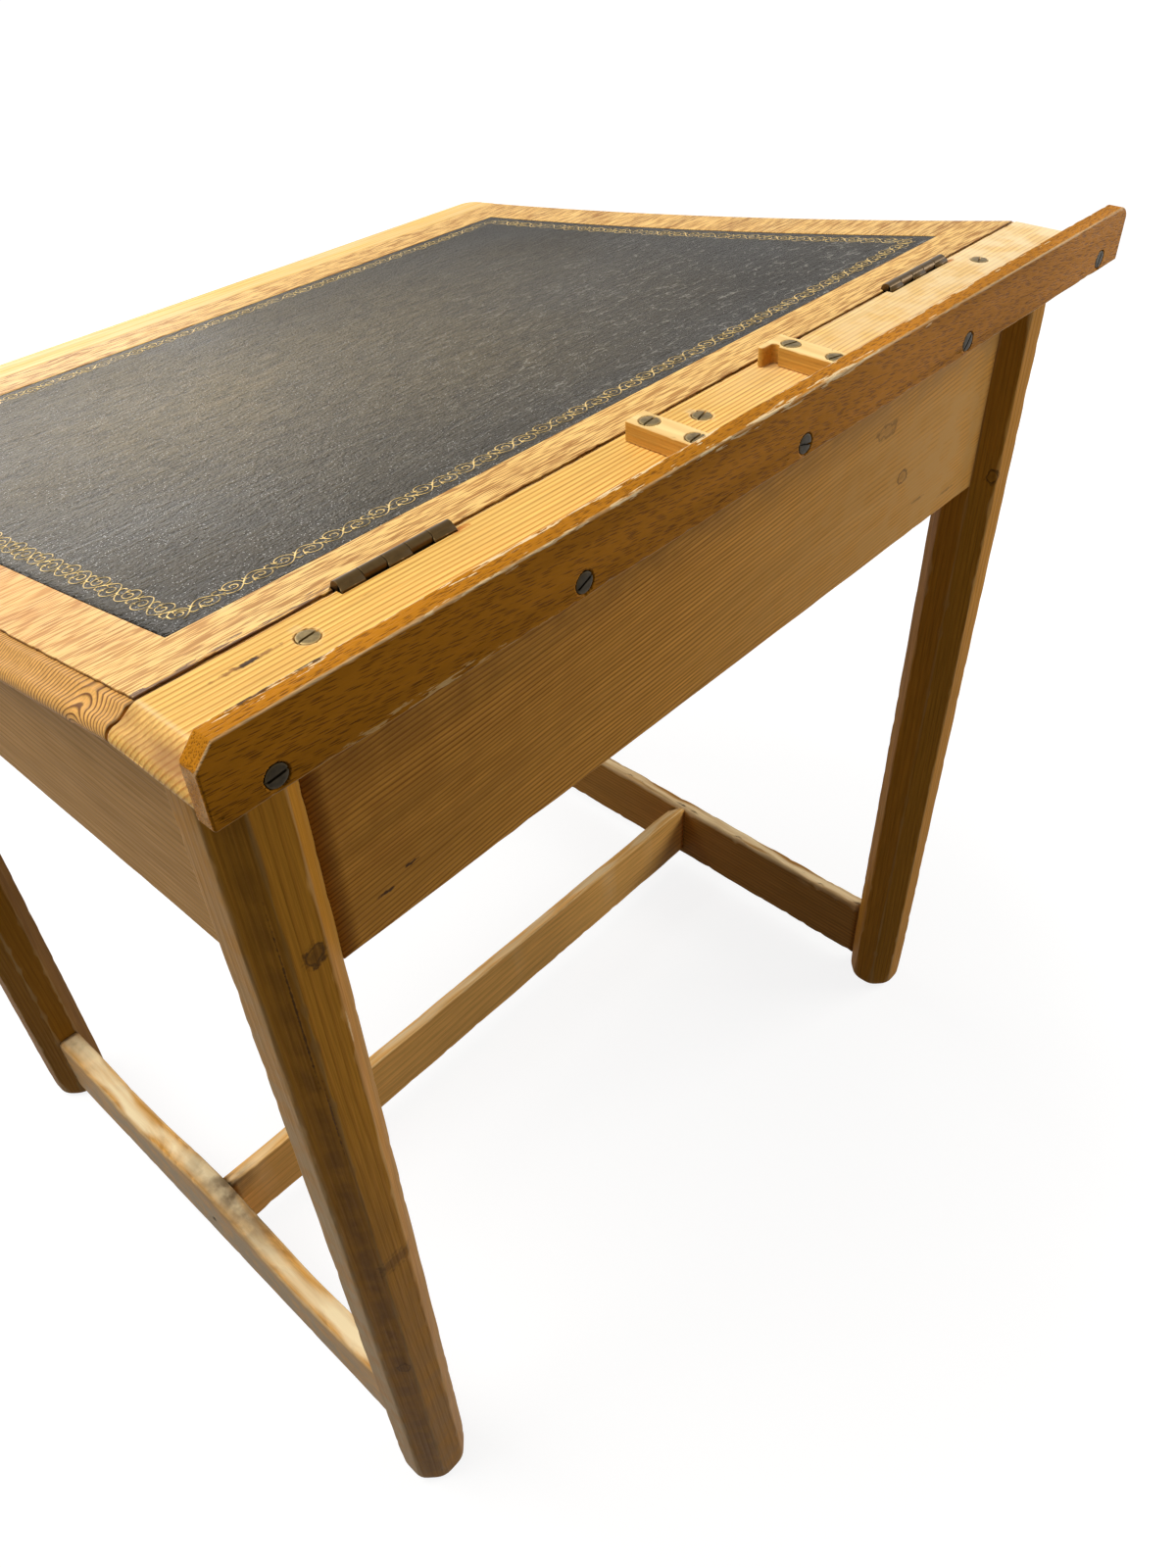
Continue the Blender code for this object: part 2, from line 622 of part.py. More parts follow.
def make_lip(rail):
    """Strip on the rail's rear edge: one top corner is clipped and the other is rounded."""
    clipped = [(LIP_END, LIP_TOP - LIP_CLIP), (LIP_END - LIP_CLIP, LIP_TOP)]
    rounded = []
    for i in range(ROUND_STEPS + 1):
        a = math.pi / 2 * (1 + i / ROUND_STEPS)
        x = -LIP_END + LIP_ROUND + LIP_ROUND * math.cos(a)
        rounded.append((x, LIP_TOP - LIP_TAPER - LIP_ROUND + LIP_ROUND * math.sin(a)))
    outline = [(-LIP_END, RAIL_UNDER), (LIP_END, RAIL_UNDER)] + clipped + rounded
    at = (0, LIP_REAR - LIP_THICKNESS / 2, 0)
    lip = put("rear_lip", outline_mesh("rear_lip", outline, LIP_THICKNESS), BEECH, at, FRONTAL)
    size = (*WOOD_SCREW, LIP_SCREW_LENGTH)
    places = screw_places(LIP_END, LIP_SCREW_FROM_ENDS, LIP_SCREW_STRAYS)
    for i, (x, spin) in enumerate(zip(places, LIP_SCREW_TURNS)):
        place = (x, LIP_REAR - SCREW_SUNK, TOP_HEIGHT - BOARD / 2)
        screw(f"lip_screw_{i + 1}", place, FACING_REAR, size, WOOD_SLOT, spin, STEEL, (lip, rail))


def block_outline(front, hooked):
    """Plan of a block about its centre line. The hooked one ends in a nose with a round notch behind it."""
    half = BLOCK_WIDTH / 2
    outline = [(-half, front), (-half, RAIL_REAR), (half, RAIL_REAR)]
    if not hooked:
        return outline + [(half, front)]
    notch = front + HOOK_NOSE + HOOK_NOTCH
    for i in range(ROUND_STEPS + 1):
        a = math.pi / 2 + math.pi * i / ROUND_STEPS
        outline.append((half + HOOK_NOTCH * math.cos(a), notch + HOOK_NOTCH * math.sin(a)))
    nose = HOOK_NOSE / 2
    for i in range(ROUND_STEPS + 1):
        a = math.pi / 2 - math.pi * i / ROUND_STEPS
        x = half + HOOK_OUT - nose + nose * math.cos(a)
        outline.append((x, front + nose + nose * math.sin(a)))
    return outline


def make_blocks(rail):
    z = TOP_HEIGHT + FIT + BLOCK_HEIGHT / 2
    size = (*WOOD_SCREW, BLOCK_SCREW_LENGTH)
    ends = {"front": RAIL_FRONT + BLOCK_SCREW_FROM_FRONT, "rear": RAIL_REAR - BLOCK_SCREW_FROM_REAR}
    for side, x in BLOCK_PLACES.items():
        name = "stop_block_" + side
        outline = block_outline(RAIL_FRONT + BLOCK_SETBACK[side], hooked=side == "left")
        block = put(name, outline_mesh(name, outline, BLOCK_HEIGHT), LIT_PINE, (x, 0, z))
        for end, y in ends.items():
            place = (x, y, z + BLOCK_HEIGHT / 2 - SCREW_SUNK)
            name = f"block_screw_{side}_{end}"
            spin = BLOCK_SCREW_TURN[side]
            screw(name, place, (0, 0, 0), size, WOOD_SLOT, spin, BRASS, (block, rail))


# Lid
def lid_path(start, end, count, drop=0.0):
    return [(y, lid_top(y) - drop) for y in lid_stations(start, end, count)]


def flat_section(right, left, thickness):
    return [(right, 0), (right, -thickness), (left, -thickness), (left, 0)]


def make_lid():
    """Moulded board with a veneered top, a leather writing panel and a moulded strip along the front."""
    path = lid_path(LID_REAR, NOSING_REAR, LID_STATIONS)
    board_mesh = sweep_mesh("lid_board", moulded_section(VENEER + FIT), path)
    board = put("lid_board", board_mesh, PINE, parent=PIVOT)
    veneer_mesh = sweep_mesh("lid_veneer", flat_section(ARRIS_X, -ARRIS_X, VENEER), path)
    veneer = put("lid_veneer", veneer_mesh, OAK, parent=PIVOT)
    right = ARRIS_X - LEATHER_MARGIN_RIGHT
    left = LEATHER_MARGIN_LEFT - ARRIS_X
    rear = LID_REAR - LEATHER_MARGIN_REAR
    front = NOSING_REAR + LEATHER_MARGIN_FRONT
    opening = box_mesh("leather_opening", (right - left + 2 * FIT, rear - front + 2 * FIT, TOP_HEIGHT))
    cut(veneer, helper("leather_opening", opening, ((right + left) / 2, (rear + front) / 2, TOP_HEIGHT)))
    leather_path = lid_path(rear, front, LID_STATIONS, VENEER - LEATHER)
    leather_mesh = sweep_mesh("leather_panel", flat_section(right, left, LEATHER), leather_path)
    put("leather_panel", leather_mesh, BLACK_LEATHER, parent=PIVOT)
    make_nosing()
    return board, veneer


def nosing_ring(out, down):
    """Plan of the front strip at one point of its moulding, with both front corners rounded."""
    rear = NOSING_REAR - FIT
    slope = (lid_top(rear) - lid_top(FRONT_ARRIS)) / (rear - FRONT_ARRIS)
    radius = NOSING_CORNER + out
    plan = [(ARRIS_X + out, rear)]
    for side, start in ((1, 0), (-1, math.pi / 2)):
        for i in range(CORNER_STEPS + 1):
            a = start + math.pi / 2 * i / CORNER_STEPS
            x = side * (ARRIS_X - NOSING_CORNER) + radius * math.cos(a)
            plan.append((x, FRONT_ARRIS + NOSING_CORNER - radius * math.sin(a)))
    plan.append((-ARRIS_X - out, rear))
    return [(x, y, lid_top(FRONT_ARRIS) + slope * (y - FRONT_ARRIS) - down) for x, y in plan]


def make_nosing():
    """Front strip: the moulding of the ends runs on round its corners and along its front."""
    rings = [nosing_ring(out, down) for out, down in ogee()]
    put("lid_nosing", loft_mesh("lid_nosing", rings), LIT_PINE, parent=PIVOT)


# Hinges
def make_hinges(rail, board, veneer):
    knuckle = HINGE_LENGTH / KNUCKLES
    for side, sx in (("right", 1), ("left", -1)):
        middle = sx * (ARRIS_X - HINGE_FROM_ARRIS)
        hinge = "hinge_" + side
        pin = rod_mesh(hinge + "_pin", PIN_RADIUS, HINGE_LENGTH)
        put(hinge + "_pin", pin, STEEL, (middle, AXIS_Y, AXIS_Z))
        for leaf, toward, parent, wood in (
            ("rail_leaf", 1, ROOT, (rail,)),
            ("lid_leaf", -1, PIVOT, (board, veneer)),
        ):
            make_leaf(hinge, leaf, middle, toward, knuckle, parent, wood)


def make_leaf(hinge, leaf, middle, toward, knuckle, parent, wood):
    """A leaf let into the edge of its board. The rail's leaf has the odd knuckles, the lid's the even."""
    name = f"{hinge}_{leaf}"
    own = range(0 if toward > 0 else 1, KNUCKLES, 2)
    bottom = TOP_HEIGHT - LEAF_HEIGHT
    plate_y = AXIS_Y + toward * (LEAF_TO_LEAF + LEAF) / 2
    size = (HINGE_LENGTH, LEAF, AXIS_Z - bottom)
    plate = put(name, box_mesh(name, size), STEEL, (middle, plate_y, (AXIS_Z + bottom) / 2), parent=parent)
    recess_size = (HINGE_LENGTH + 2 * FIT, LEAF + 2 * FIT + LEAF_TO_LEAF, 2 * (LEAF_HEIGHT + FIT))
    recess_y = AXIS_Y + toward * (LEAF + FIT) / 2
    recess = helper(name + "_recess", box_mesh(name + "_recess", recess_size), (middle, recess_y, TOP_HEIGHT))
    groove_mesh = rod_mesh(name + "_groove", BARREL_RADIUS + FIT, HINGE_LENGTH + 2 * FIT, BARREL_STEPS)
    groove = helper(name + "_groove", groove_mesh, (middle, AXIS_Y, AXIS_Z))
    for piece in wood:
        cut(piece, recess)
        cut(piece, groove)
    start = middle - HINGE_LENGTH / 2 + knuckle / 2
    for i in range(KNUCKLES):
        at = (start + i * knuckle, AXIS_Y, AXIS_Z)
        if i in own:
            rod = rod_mesh(f"{name}_knuckle_{i}", BARREL_RADIUS, knuckle - FIT, BARREL_STEPS)
            boolean(plate, helper(f"{name}_knuckle_{i}", rod, at), "UNION")
        else:
            reach = BARREL_RADIUS + FIT
            clear = box_mesh(f"{name}_clear_{i}", (knuckle + FIT, 2 * reach, 2 * reach))
            cut(plate, helper(f"{name}_clear_{i}", clear, at))
    bore = rod_mesh(name + "_bore", PIN_RADIUS + FIT, HINGE_LENGTH + LEAF)
    cut(plate, helper(name + "_bore", bore, (middle, AXIS_Y, AXIS_Z)))
    pitch = HINGE_LENGTH / HINGE_SCREW_COUNT
    face = AXIS_Y + toward * LEAF_TO_LEAF / 2
    height = (bottom + AXIS_Z - BARREL_RADIUS) / 2
    turn = FACING_FRONT if toward > 0 else FACING_REAR
    for i in range(HINGE_SCREW_COUNT):
        place = (middle + (i - (HINGE_SCREW_COUNT - 1) / 2) * pitch, face, height)
        spin = HINGE_SCREW_TURN * i
        through = (plate, wood[0])
        screw(f"{name}_screw_{i + 1}", place, turn, HINGE_SCREW, HINGE_SLOT, spin, STEEL, through, parent)


def make_desk():
    legs = make_legs()
    space = lid_space()
    for leg in legs.values():
        cut(leg, space)
    panels = make_panels(legs, space)
    make_bottom()
    make_stretchers(legs)
    rail = make_rail(panels)
    make_lip(rail)
    make_blocks(rail)
    board, veneer = make_lid()
    make_hinges(rail, board, veneer)


make_desk()
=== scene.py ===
"""Looks of a slope-top school writing desk with a leather writing panel, laid out as a Blender add-on.

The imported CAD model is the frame. Each wooden piece that shows gets a skin with eased, worn edges in
place of its plain solid. The lid gets its veneer, leather and gilt border, and the ironwork its turned
barrels and slotted heads. Metres, +Z up: the sitter is on the -Y side and +X is on the sitter's right.
"""

from functools import partial

import bpy
import numpy as np
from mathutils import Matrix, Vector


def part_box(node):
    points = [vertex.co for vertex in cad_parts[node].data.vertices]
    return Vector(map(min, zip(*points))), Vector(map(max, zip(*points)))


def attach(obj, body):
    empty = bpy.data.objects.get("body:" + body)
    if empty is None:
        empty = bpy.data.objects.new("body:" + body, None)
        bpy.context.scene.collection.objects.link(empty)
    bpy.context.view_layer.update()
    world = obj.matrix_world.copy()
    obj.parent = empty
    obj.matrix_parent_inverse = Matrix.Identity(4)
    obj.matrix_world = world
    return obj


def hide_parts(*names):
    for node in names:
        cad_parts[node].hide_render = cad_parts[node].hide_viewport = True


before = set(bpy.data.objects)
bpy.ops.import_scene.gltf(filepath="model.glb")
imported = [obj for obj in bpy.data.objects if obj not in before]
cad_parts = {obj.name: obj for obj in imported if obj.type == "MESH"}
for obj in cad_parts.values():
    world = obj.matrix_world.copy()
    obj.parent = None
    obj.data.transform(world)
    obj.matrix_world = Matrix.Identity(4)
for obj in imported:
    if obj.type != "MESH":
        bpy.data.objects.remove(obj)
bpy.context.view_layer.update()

bl_info = {
    "name": "Writing Desk",
    "version": (1, 0, 0),
    "blender": (4, 5, 0),
    "location": "View3D > Sidebar > Desk",
    "description": "Dresses a slope-top writing desk in worn pine, beech, oak veneer and tooled leather",
    "category": "Object",
}


# Places that the frame gives
def corners(node):
    """Lowest and highest corner of a CAD node, as two rows."""
    return np.array([tuple(corner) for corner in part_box(node)])


RAIL = corners("hinge_rail")
LIP = corners("rear_lip")
BOARD = corners("lid_board")
VENEER = corners("lid_veneer")
LEATHER = corners("leather_panel")
NOSING = corners("lid_nosing")
LEG_RIGHT = corners("leg_rear_right")
LEG_FRONT = corners("leg_front_right")
CROSS = corners("cross_stretcher")
PIN = corners("hinge_right_pin")
TOP = RAIL[1, 2]
THICK = TOP - RAIL[0, 2]
ARRIS = VENEER[1, 0]
OGEE_OUT = RAIL[1, 0] - ARRIS
LID_REAR = VENEER[1, 1]
FRONT_ARRIS = NOSING[0, 1] + OGEE_OUT
LID_RUN = LID_REAR - FRONT_ARRIS
AXIS_Y, AXIS_Z = PIN.mean(0)[1:]
HINGE_LENGTH = PIN[1, 0] - PIN[0, 0]
HINGE_X = PIN.mean(0)[0]

# Small sizes that the frame's boxes don't tell, in metres
FIT = 0.0003  # room at a joint
VENEER_THICK = 0.0010
LEATHER_SUNK = 0.0002  # leather's face below the veneer's
HIDE_ROLL = 0.00006  # height of the faint roll of the leather's face
OGEE_STRAIGHT = 0.4  # share of the ogee's fall that is an even slope
BARREL = 0.0030  # radius of a hinge's knuckles
KNUCKLES = 5
KNUCKLE_SLOT = 0.0012  # room beside the lid's knuckles
LEAF = 0.0015  # thickness of a hinge's leaf
LEAF_SPLIT = 0.00015  # half of the space between two leaves
PAD_RISE = 0.0024  # top of a rail knuckle's wrapped side above the hinge's axis
PAD_FALL = 0.74  # slope of that side down to the rail
NOSING_CORNER = 0.010
LIP_CLIP = 0.0075
LIP_ROUND = 0.009
LIP_TAPER = 0.0018  # fall of the lip's top from end to end
HOOK_NOSE = 0.0034  # width of the hooked block's nose
HOOK_NOTCH = 0.0024  # radius of the notch behind it
HOOK_OUT = 0.006  # how far the nose stands out
STRETCHER_WIDTH = 0.0175
TREAD = 0.061  # height of a side stretcher at its inner top edge
TREAD_SLANT = 0.006  # fall of its top across its width
TREAD_RISE = 0.007  # hump over the joint
TREAD_HOLLOW = 0.006  # depth worn away on both sides of the joint
CROSS_SLANT = 0.0125
HEAD = 0.0045  # radius of a screw's head
SLOT_WIDTH = 0.0011
SLOT_DEPTH = 0.0011
HEAD_DEPTH = 0.0020
HEAD_RISE = 0.00025
PIT_DEPTH = 0.0023
PIT_WALL = 0.0003
PIT_GAP = 0.00015  # room between a head and its countersink
PIT_RIM = 0.0007  # middle of the rubbed ring around a countersink
PIT_REACH = 0.0056  # how far from a screw the face is drawn finely
PIT_PITCH = 0.00045
HAIR = 0.00005  # half the width of an upright wall of a recess
FULLEST = 0.96  # largest radius of an edge in shares of half a bar's width
FLAT = 0.99  # share of a bend above which a point lies on the flat of a face
TINY = 1e-6  # width of the slot's walls

# Sizes of the wear, in metres
FOOT_FLARE = 0.0048  # extra cut off a leg's corners at its foot
LEG_DENT = 0.0016  # deepest dent in a leg's corner
TREAD_WAVE = 0.0006  # rise and fall of a side stretcher's top
CROSS_WAVE = 0.0005  # rise and fall of the cross stretcher's top
TREAD_SOFT = 0.004  # depth over which bare wood fades out below a trodden top
RAIL_EASE = 0.0016  # largest radius of the rail's edges
ARRIS_RUB = 0.0012  # half the width of the rubbed line along the rail's arris
LIP_EASE = 0.0035  # largest radius of the lip's edges
LID_EASE = 0.001  # largest radius of the lid board's edges
HIDE_EASE = 0.0003  # radius of the leather's edges
VENEER_BITE = 0.0004  # deepest chip out of the veneer's edge
LEAF_EASE = 0.0002  # radius of a hinge leaf's edges
PAD_EASE = 0.0003  # radius of the edges of a rail knuckle's side
RIDGE = 0.00010  # height of the gilding's ridge
RIDGE_FOOT = 0.00002  # how far the ridge's sides reach into the leather
RIM = 0.82  # share of a screw head's radius from which it is rubbed bright


def linear(code):
    """sRGB hex to a linear colour with alpha: the standard curve on each of the three bytes."""
    value = np.array([int(code[i : i + 2], 16) for i in (1, 3, 5)]) / 255
    value = np.where(value <= 0.04045, value / 12.92, ((value + 0.055) / 1.055) ** 2.4)
    return (*(float(v) for v in value), 1.0)


def colour(label, code, text):
    """Property for a colour that is given as sRGB hex."""
    return bpy.props.FloatVectorProperty(
        name=label, description=text, default=linear(code), size=4, min=0.0, max=1.0, subtype="COLOR"
    )


def early(place, code):
    """Property for the soft pale part of a pine's growth rings."""
    return colour(f"{place}, early wood", code, "Soft pale part of a growth ring")


def late(place, code):
    """Property for the hard dark line of a pine's growth rings."""
    return colour(f"{place}, late wood", code, "Hard dark line of a growth ring")


def length(label, size, text):
    """Property for a size in metres."""
    return bpy.props.FloatProperty(name=label, description=text, default=size, min=0.0, unit="LENGTH")


class DeskSizes(bpy.types.PropertyGroup):
    """Sizes of the wear, the moulding and the gilt border."""

    slope: bpy.props.FloatProperty(
        name="Lid slope", description="Fall of the lid to the front", default=0.15115, unit="ROTATION"
    )
    cup: length("Lid cup", 0.004, "Hollow across the lid, where its boards have cupped")
    ogee_step: length("Ogee step", 0.0045, "Fall of the moulded ends down to their round nose")
    chamfer: length("Leg chamfer", 0.012, "Chamfer along each corner of a leg")
    foot: length("Foot round", 0.008, "Rounding of the feet")
    ease: length("Worn edge", 0.0009, "Usual radius of a worn edge")
    border_inset: length("Border inset", 0.0115, "Leather's edge to the middle of the gilt border")
    border_pitch: length("Border pitch", 0.0122, "Length of half a wave of the gilt border")
    border_stroke: length("Border stroke", 0.0007, "Widest stroke of the gilt border")


class DeskColours(bpy.types.PropertyGroup):
    """Colours of the woods, the leather and the metals."""

    pine_early: early("Rear and front panel", "#DC9C3E")
    pine_late: late("Rear and front panel", "#8F5410")
    top_early: early("Sunned rail", "#F9C76A")
    top_late: late("Sunned rail", "#C27A22")
    leg_early: early("Legs", "#C08326")
    leg_late: late("Legs", "#94560A")
    stretcher_early: early("Stretchers", "#DDA352")
    stretcher_late: late("Stretchers", "#B0742A")
    side_early: early("Greyed sides", "#BC8C4A")
    side_late: late("Greyed sides", "#956A30")
    lid_early: early("Lid's moulded ends", "#D59E52")
    lid_late: late("Lid's moulded ends", "#63380E")
    bare: colour("Bare wood", "#F2D9A8", "Wood where the finish is rubbed or chipped away")
    beech: colour("Beech", "#B97618", "Ground colour of the lip")
    beech_fleck: colour("Beech fleck", "#804E0C", "Short dark flecks of the lip")
    oak: colour("Oak veneer", "#EDBF6E", "Ground colour of the lid's veneer")
    oak_pore: colour("Oak pores", "#9E6624", "Fine pore streaks of the lid's veneer")
    # Leather and leather_edge are the panel's own brown and charcoal, and their spread also lays a painted
    # sheen, lighter in the middle.
    leather: colour("Leather", "#60553F", "Brown-black middle of the writing panel")
    leather_edge: colour("Leather edge", "#231F19", "Charcoal of the panel's less handled edge")
    gilt: colour("Gilt", "#F2CE7C", "Gold leaf of the border")
    bronze: colour("Bronzed steel", "#4F3D22", "Hinges")
    black_steel: colour("Blackened steel", "#2C2416", "Screws of the lip")
    brass: colour("Dull brass", "#7D6B46", "Screws of the rail and the blocks")


# Arrays that shape the pieces
def drift(places, span, seed):
    """Smooth wander between -1 and 1: the sum of six sines with wavelengths from half to 1.7 of a span,
    divided by 2.6 and clipped.
    """
    rng = np.random.default_rng(seed)
    waves = span * rng.uniform(0.5, 1.7, 6)
    phases = rng.uniform(0, 2 * np.pi, 6)
    total = np.sin(2 * np.pi * np.asarray(places)[..., None] / waves + phases).sum(-1)
    return np.clip(total / 2.6, -1, 1)


def chips(places, span, share, seed):
    """Rare dents from 0 to 1: what a wander rises above its (1 - share) level."""
    return np.clip(drift(places, span, seed) - 1 + share, 0, share) / share


def stations(start, end, spacing, ease=(0.0, 0.0), marks=()):
    """Sorted places from start to end: even ones, a quarter arc's at each eased end, and the marks."""
    even = np.linspace(start, end, int(np.ceil((end - start) / spacing)) + 1)
    arc = 1 - np.cos(np.linspace(0, np.pi / 2, 6))
    places = np.concatenate([even, start + ease[0] * arc, end - ease[1] * arc, *marks])
    return np.unique(np.round(places[(places >= start) & (places <= end)], 6))


def close_to(centre):
    """Fine places about a countersink's centre."""
    return centre + np.arange(-PIT_REACH, PIT_REACH + PIT_PITCH, PIT_PITCH)


def inner(count):
    """Even shares of a flat, without its two ends."""
    return np.linspace(0, 1, count)[1:-1]


def drawn_in(places, start, end, ease):
    """How far a section shrinks near an eased end: a quarter circle's distance from its tangent."""
    inset = np.zeros_like(places)
    for distance, radius in ((places - start, ease[0]), (end - places, ease[1])):
        d = np.clip(distance, 0, radius)
        inset = np.maximum(inset, radius - np.sqrt(np.maximum(radius**2 - (radius - d) ** 2, 0)))
    return inset


def round_loop(flats=((), (), (), ()), steps=3):
    """Loop round a unit rectangle with round corners, as (side, bend) offsets.

    A corner's arc comes first, then the flat after it, four times: the flats lie on the second axis's
    high side, the first axis's low side, the second's low side and the first's high side. Each flat is
    split at the given shares of its travel.
    """
    quadrant = np.array([(1, 1), (-1, 1), (-1, -1), (1, -1)], float)
    sides, bends = [], []
    for k in range(4):
        angle = np.pi / 2 * (k + np.linspace(0, 1, steps + 1))
        sides.append(np.repeat(quadrant[k : k + 1], steps + 1, 0))
        bends.append(np.stack([np.cos(angle), np.sin(angle)], 1))
        share = np.asarray(flats[k], float)[:, None]
        sides.append(quadrant[k] + (quadrant[(k + 1) % 4] - quadrant[k]) * share)
        bends.append(np.repeat(bends[-1][-1:], len(share), 0))
    return np.concatenate(sides), np.concatenate(bends)


def worn(at, loop, ease, seed):
    """Radius of the worn edges along a bar: it wanders by a quarter over some 60 mm, and dents about 14 mm
    long add up to 0.7 of it. Each edge has its own place in the wander.
    """
    turn = np.arctan2(loop[0][:, 1], loop[0][:, 0])
    place = np.asarray(at)[:, None] + 0.5 * turn
    wander = 1 + 0.25 * drift(place, 0.06, seed) + 0.7 * chips(place, 0.014, 0.25, seed + 1)
    return ease * wander


def bar(axis, at, low, high, ease, loop):
    """Points and wear of a bar along an axis.

    At each place a rectangle from low to high has its corners rounded by ease: a point is the middle
    plus its side times the half size less the radius, plus its bend times the radius. Wear is 1 in the
    middle of a rounded edge and 0 on the flats.
    """
    side, bend = loop
    low, high = np.broadcast_arrays(low, high)
    half = (high - low) / 2
    middle = (high + low) / 2
    radius = np.minimum(ease, FULLEST * half.min(1)[:, None])[..., None]
    cross = middle[:, None] + side * (half[:, None] - radius) + bend * radius
    points = np.empty((len(at), len(side), 3))
    points[..., axis] = np.asarray(at)[:, None]
    points[..., [i for i in range(3) if i != axis]] = cross
    wear = np.broadcast_to(np.abs(2 * bend[:, 0] * bend[:, 1]), points.shape[:2])
    return points, wear


def columns(*values):
    """Columns of an array from numbers and arrays of one length."""
    return np.stack(np.broadcast_arrays(*values), -1)


def pits(u, v, centres):
    """Depth of the countersinks and the wear of their rims: full depth inside a circle a little wider than
    the head, then a narrow sloping wall, and a rubbed ring around it.
    """
    distance = np.hypot(u[..., None] - centres[:, 0], v[..., None] - centres[:, 1]).min(-1)
    distance = distance - HEAD - PIT_GAP
    depth = PIT_DEPTH * np.clip(1 - distance / PIT_WALL, 0, 1)
    return depth, np.clip(1 - np.abs(distance - PIT_RIM) / (2 * PIT_WALL), 0, 1)


def lid_top(y, desk):
    """Height of the lid's face: an even fall to the front, less a parabola for the cup."""
    t = (LID_REAR - y) / LID_RUN
    return TOP - LID_RUN * np.tan(desk.slope) * t - 4 * desk.cup * t * (1 - t)


def bent(points, desk):
    """Lays points whose height is measured from a flat lid on the lid's own face."""
    laid = points.copy()
    laid[..., 2] += lid_top(points[..., 1], desk)
    return laid


def ogee(out, step):
    """Depth of the moulded end's upper and lower side: an S curve, then a half-round nose."""
    nose = (THICK - step) / 2
    t = np.clip(out / (OGEE_OUT - nose), 0, 1)
    upper = step * (OGEE_STRAIGHT * t + (1 - OGEE_STRAIGHT) * (1 - np.cos(np.pi * t)) / 2)
    beyond = np.clip(out - OGEE_OUT + nose, 0, nose)
    drop = nose - np.sqrt(nose**2 - beyond**2)
    return upper + drop, THICK - drop


def ogee_places(step):
    """Distances out from the arris at which the moulding is drawn."""
    nose = (THICK - step) / 2
    slope = np.linspace(0, OGEE_OUT - nose, 12)
    return np.concatenate([slope, OGEE_OUT - nose + nose * np.sin(np.linspace(0, np.pi / 2, 10))])


def hinge_middles():
    """Middles of the two hinges along the rail."""
    return np.array([HINGE_X, -HINGE_X])


def let_in(points, toward):
    """Pushes a board's edge back to make room for the hinges: a round groove, then a flat recess. The rail
    stands farther off, which leaves an open slot beside each of the lid's knuckles.
    """
    place = (points[..., 0, None] - hinge_middles()) / HINGE_LENGTH + 0.5
    near = ((place > -FIT / HINGE_LENGTH) & (place < 1 + FIT / HINGE_LENGTH)).any(-1)
    height = points[..., 2] - AXIS_Z
    reach = BARREL + FIT + (KNUCKLE_SLOT if toward > 0 else 0)
    groove = np.where(np.abs(height) < BARREL, reach if toward > 0 else 0, 0)
    groove = np.maximum(groove, np.sqrt(np.clip(reach**2 - height**2, 0, None)))
    groove = np.maximum(groove, np.where(height < 0, LEAF + LEAF_SPLIT + FIT, 0))
    distance = toward * (points[..., 1] - AXIS_Y)
    opened = points.copy()
    opened[..., 1] = np.where(near, AXIS_Y + toward * np.maximum(distance, groove), points[..., 1])
    return opened


def hinge_marks():
    """Two stations on either side of each end of each knuckle, for the recess's upright walls."""
    edges = HINGE_LENGTH * (np.arange(KNUCKLES + 1) / KNUCKLES - 0.5)
    edges[[0, -1]] += (-FIT, FIT)
    return (hinge_middles()[:, None, None] + edges[:, None] + np.array([-HAIR, HAIR])).ravel()


def moulded_marks(desk):
    """Stations along a board for both of its moulded ends and for the hinges."""
    moulding = ARRIS + ogee_places(desk.ogee_step)
    return [moulding, -moulding, hinge_marks()]


# Pieces
def faces_of(points, closed, start):
    """Quads between neighbouring stations of a skin, and its two caps, turned to face outwards."""
    count, around = points.shape[:2]
    index = np.arange(count * around).reshape(count, around)
    here = np.concatenate([index, index[:1]]) if closed else index
    beside = np.roll(here, -1, 1)
    quads = np.stack([here[:-1], beside[:-1], beside[1:], here[1:]], -1).reshape(-1, 4)
    caps = [] if closed else [index[0][::-1], index[-1]]
    flat = points.reshape(-1, 3)
    flat = flat - flat.mean(0)
    triangles = [quads[:, :3], quads[:, [0, 2, 3]]]
    triangles += [np.stack([np.full(len(c) - 2, c[0]), c[1:-1], c[2:]], -1) for c in caps]
    a, b, c = (flat[np.concatenate(triangles)[:, i]] for i in range(3))
    if (a * np.cross(b, c)).sum() < 0:
        quads = quads[:, ::-1]
        caps = [cap[::-1] for cap in caps]
    return (quads + start).tolist() + [(cap + start).tolist() for cap in caps]


def piece(name, skins, material, body, replaced=(), closed=False):
    """One object from skins of (points, wear): its place is in its mesh, and wear is an attribute."""
    points, faces, wear = [], [], []
    start = 0
    for skin, rubbed in skins:
        faces += faces_of(skin, closed, start)
        points.append(skin.reshape(-1, 3))
        wear.append(np.broadcast_to(rubbed, skin.shape[:2]).ravel())
        start += len(points[-1])
    mesh = bpy.data.meshes.new(name)
    mesh.from_pydata(np.concatenate(points).tolist(), [], faces)
    rubbed = mesh.attributes.new("wear", "FLOAT", "POINT")
    rubbed.data.foreach_set("value", np.concatenate(wear).astype(np.float32))
    mesh.materials.append(material)
    mesh.shade_smooth()
    obj = bpy.data.objects.new(name, mesh)
    bpy.context.scene.collection.objects.link(obj)
    normals = obj.modifiers.new("flat faces stay flat", "WEIGHTED_NORMAL")
    normals.keep_sharp = True
    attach(obj, body)
    if replaced:
        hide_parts(*replaced)
    return obj


def paint(material, *nodes):
    """Gives CAD nodes whose shape stays a material."""
    for node in nodes:
        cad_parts[node].data.materials.clear()
        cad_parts[node].data.materials.append(material)


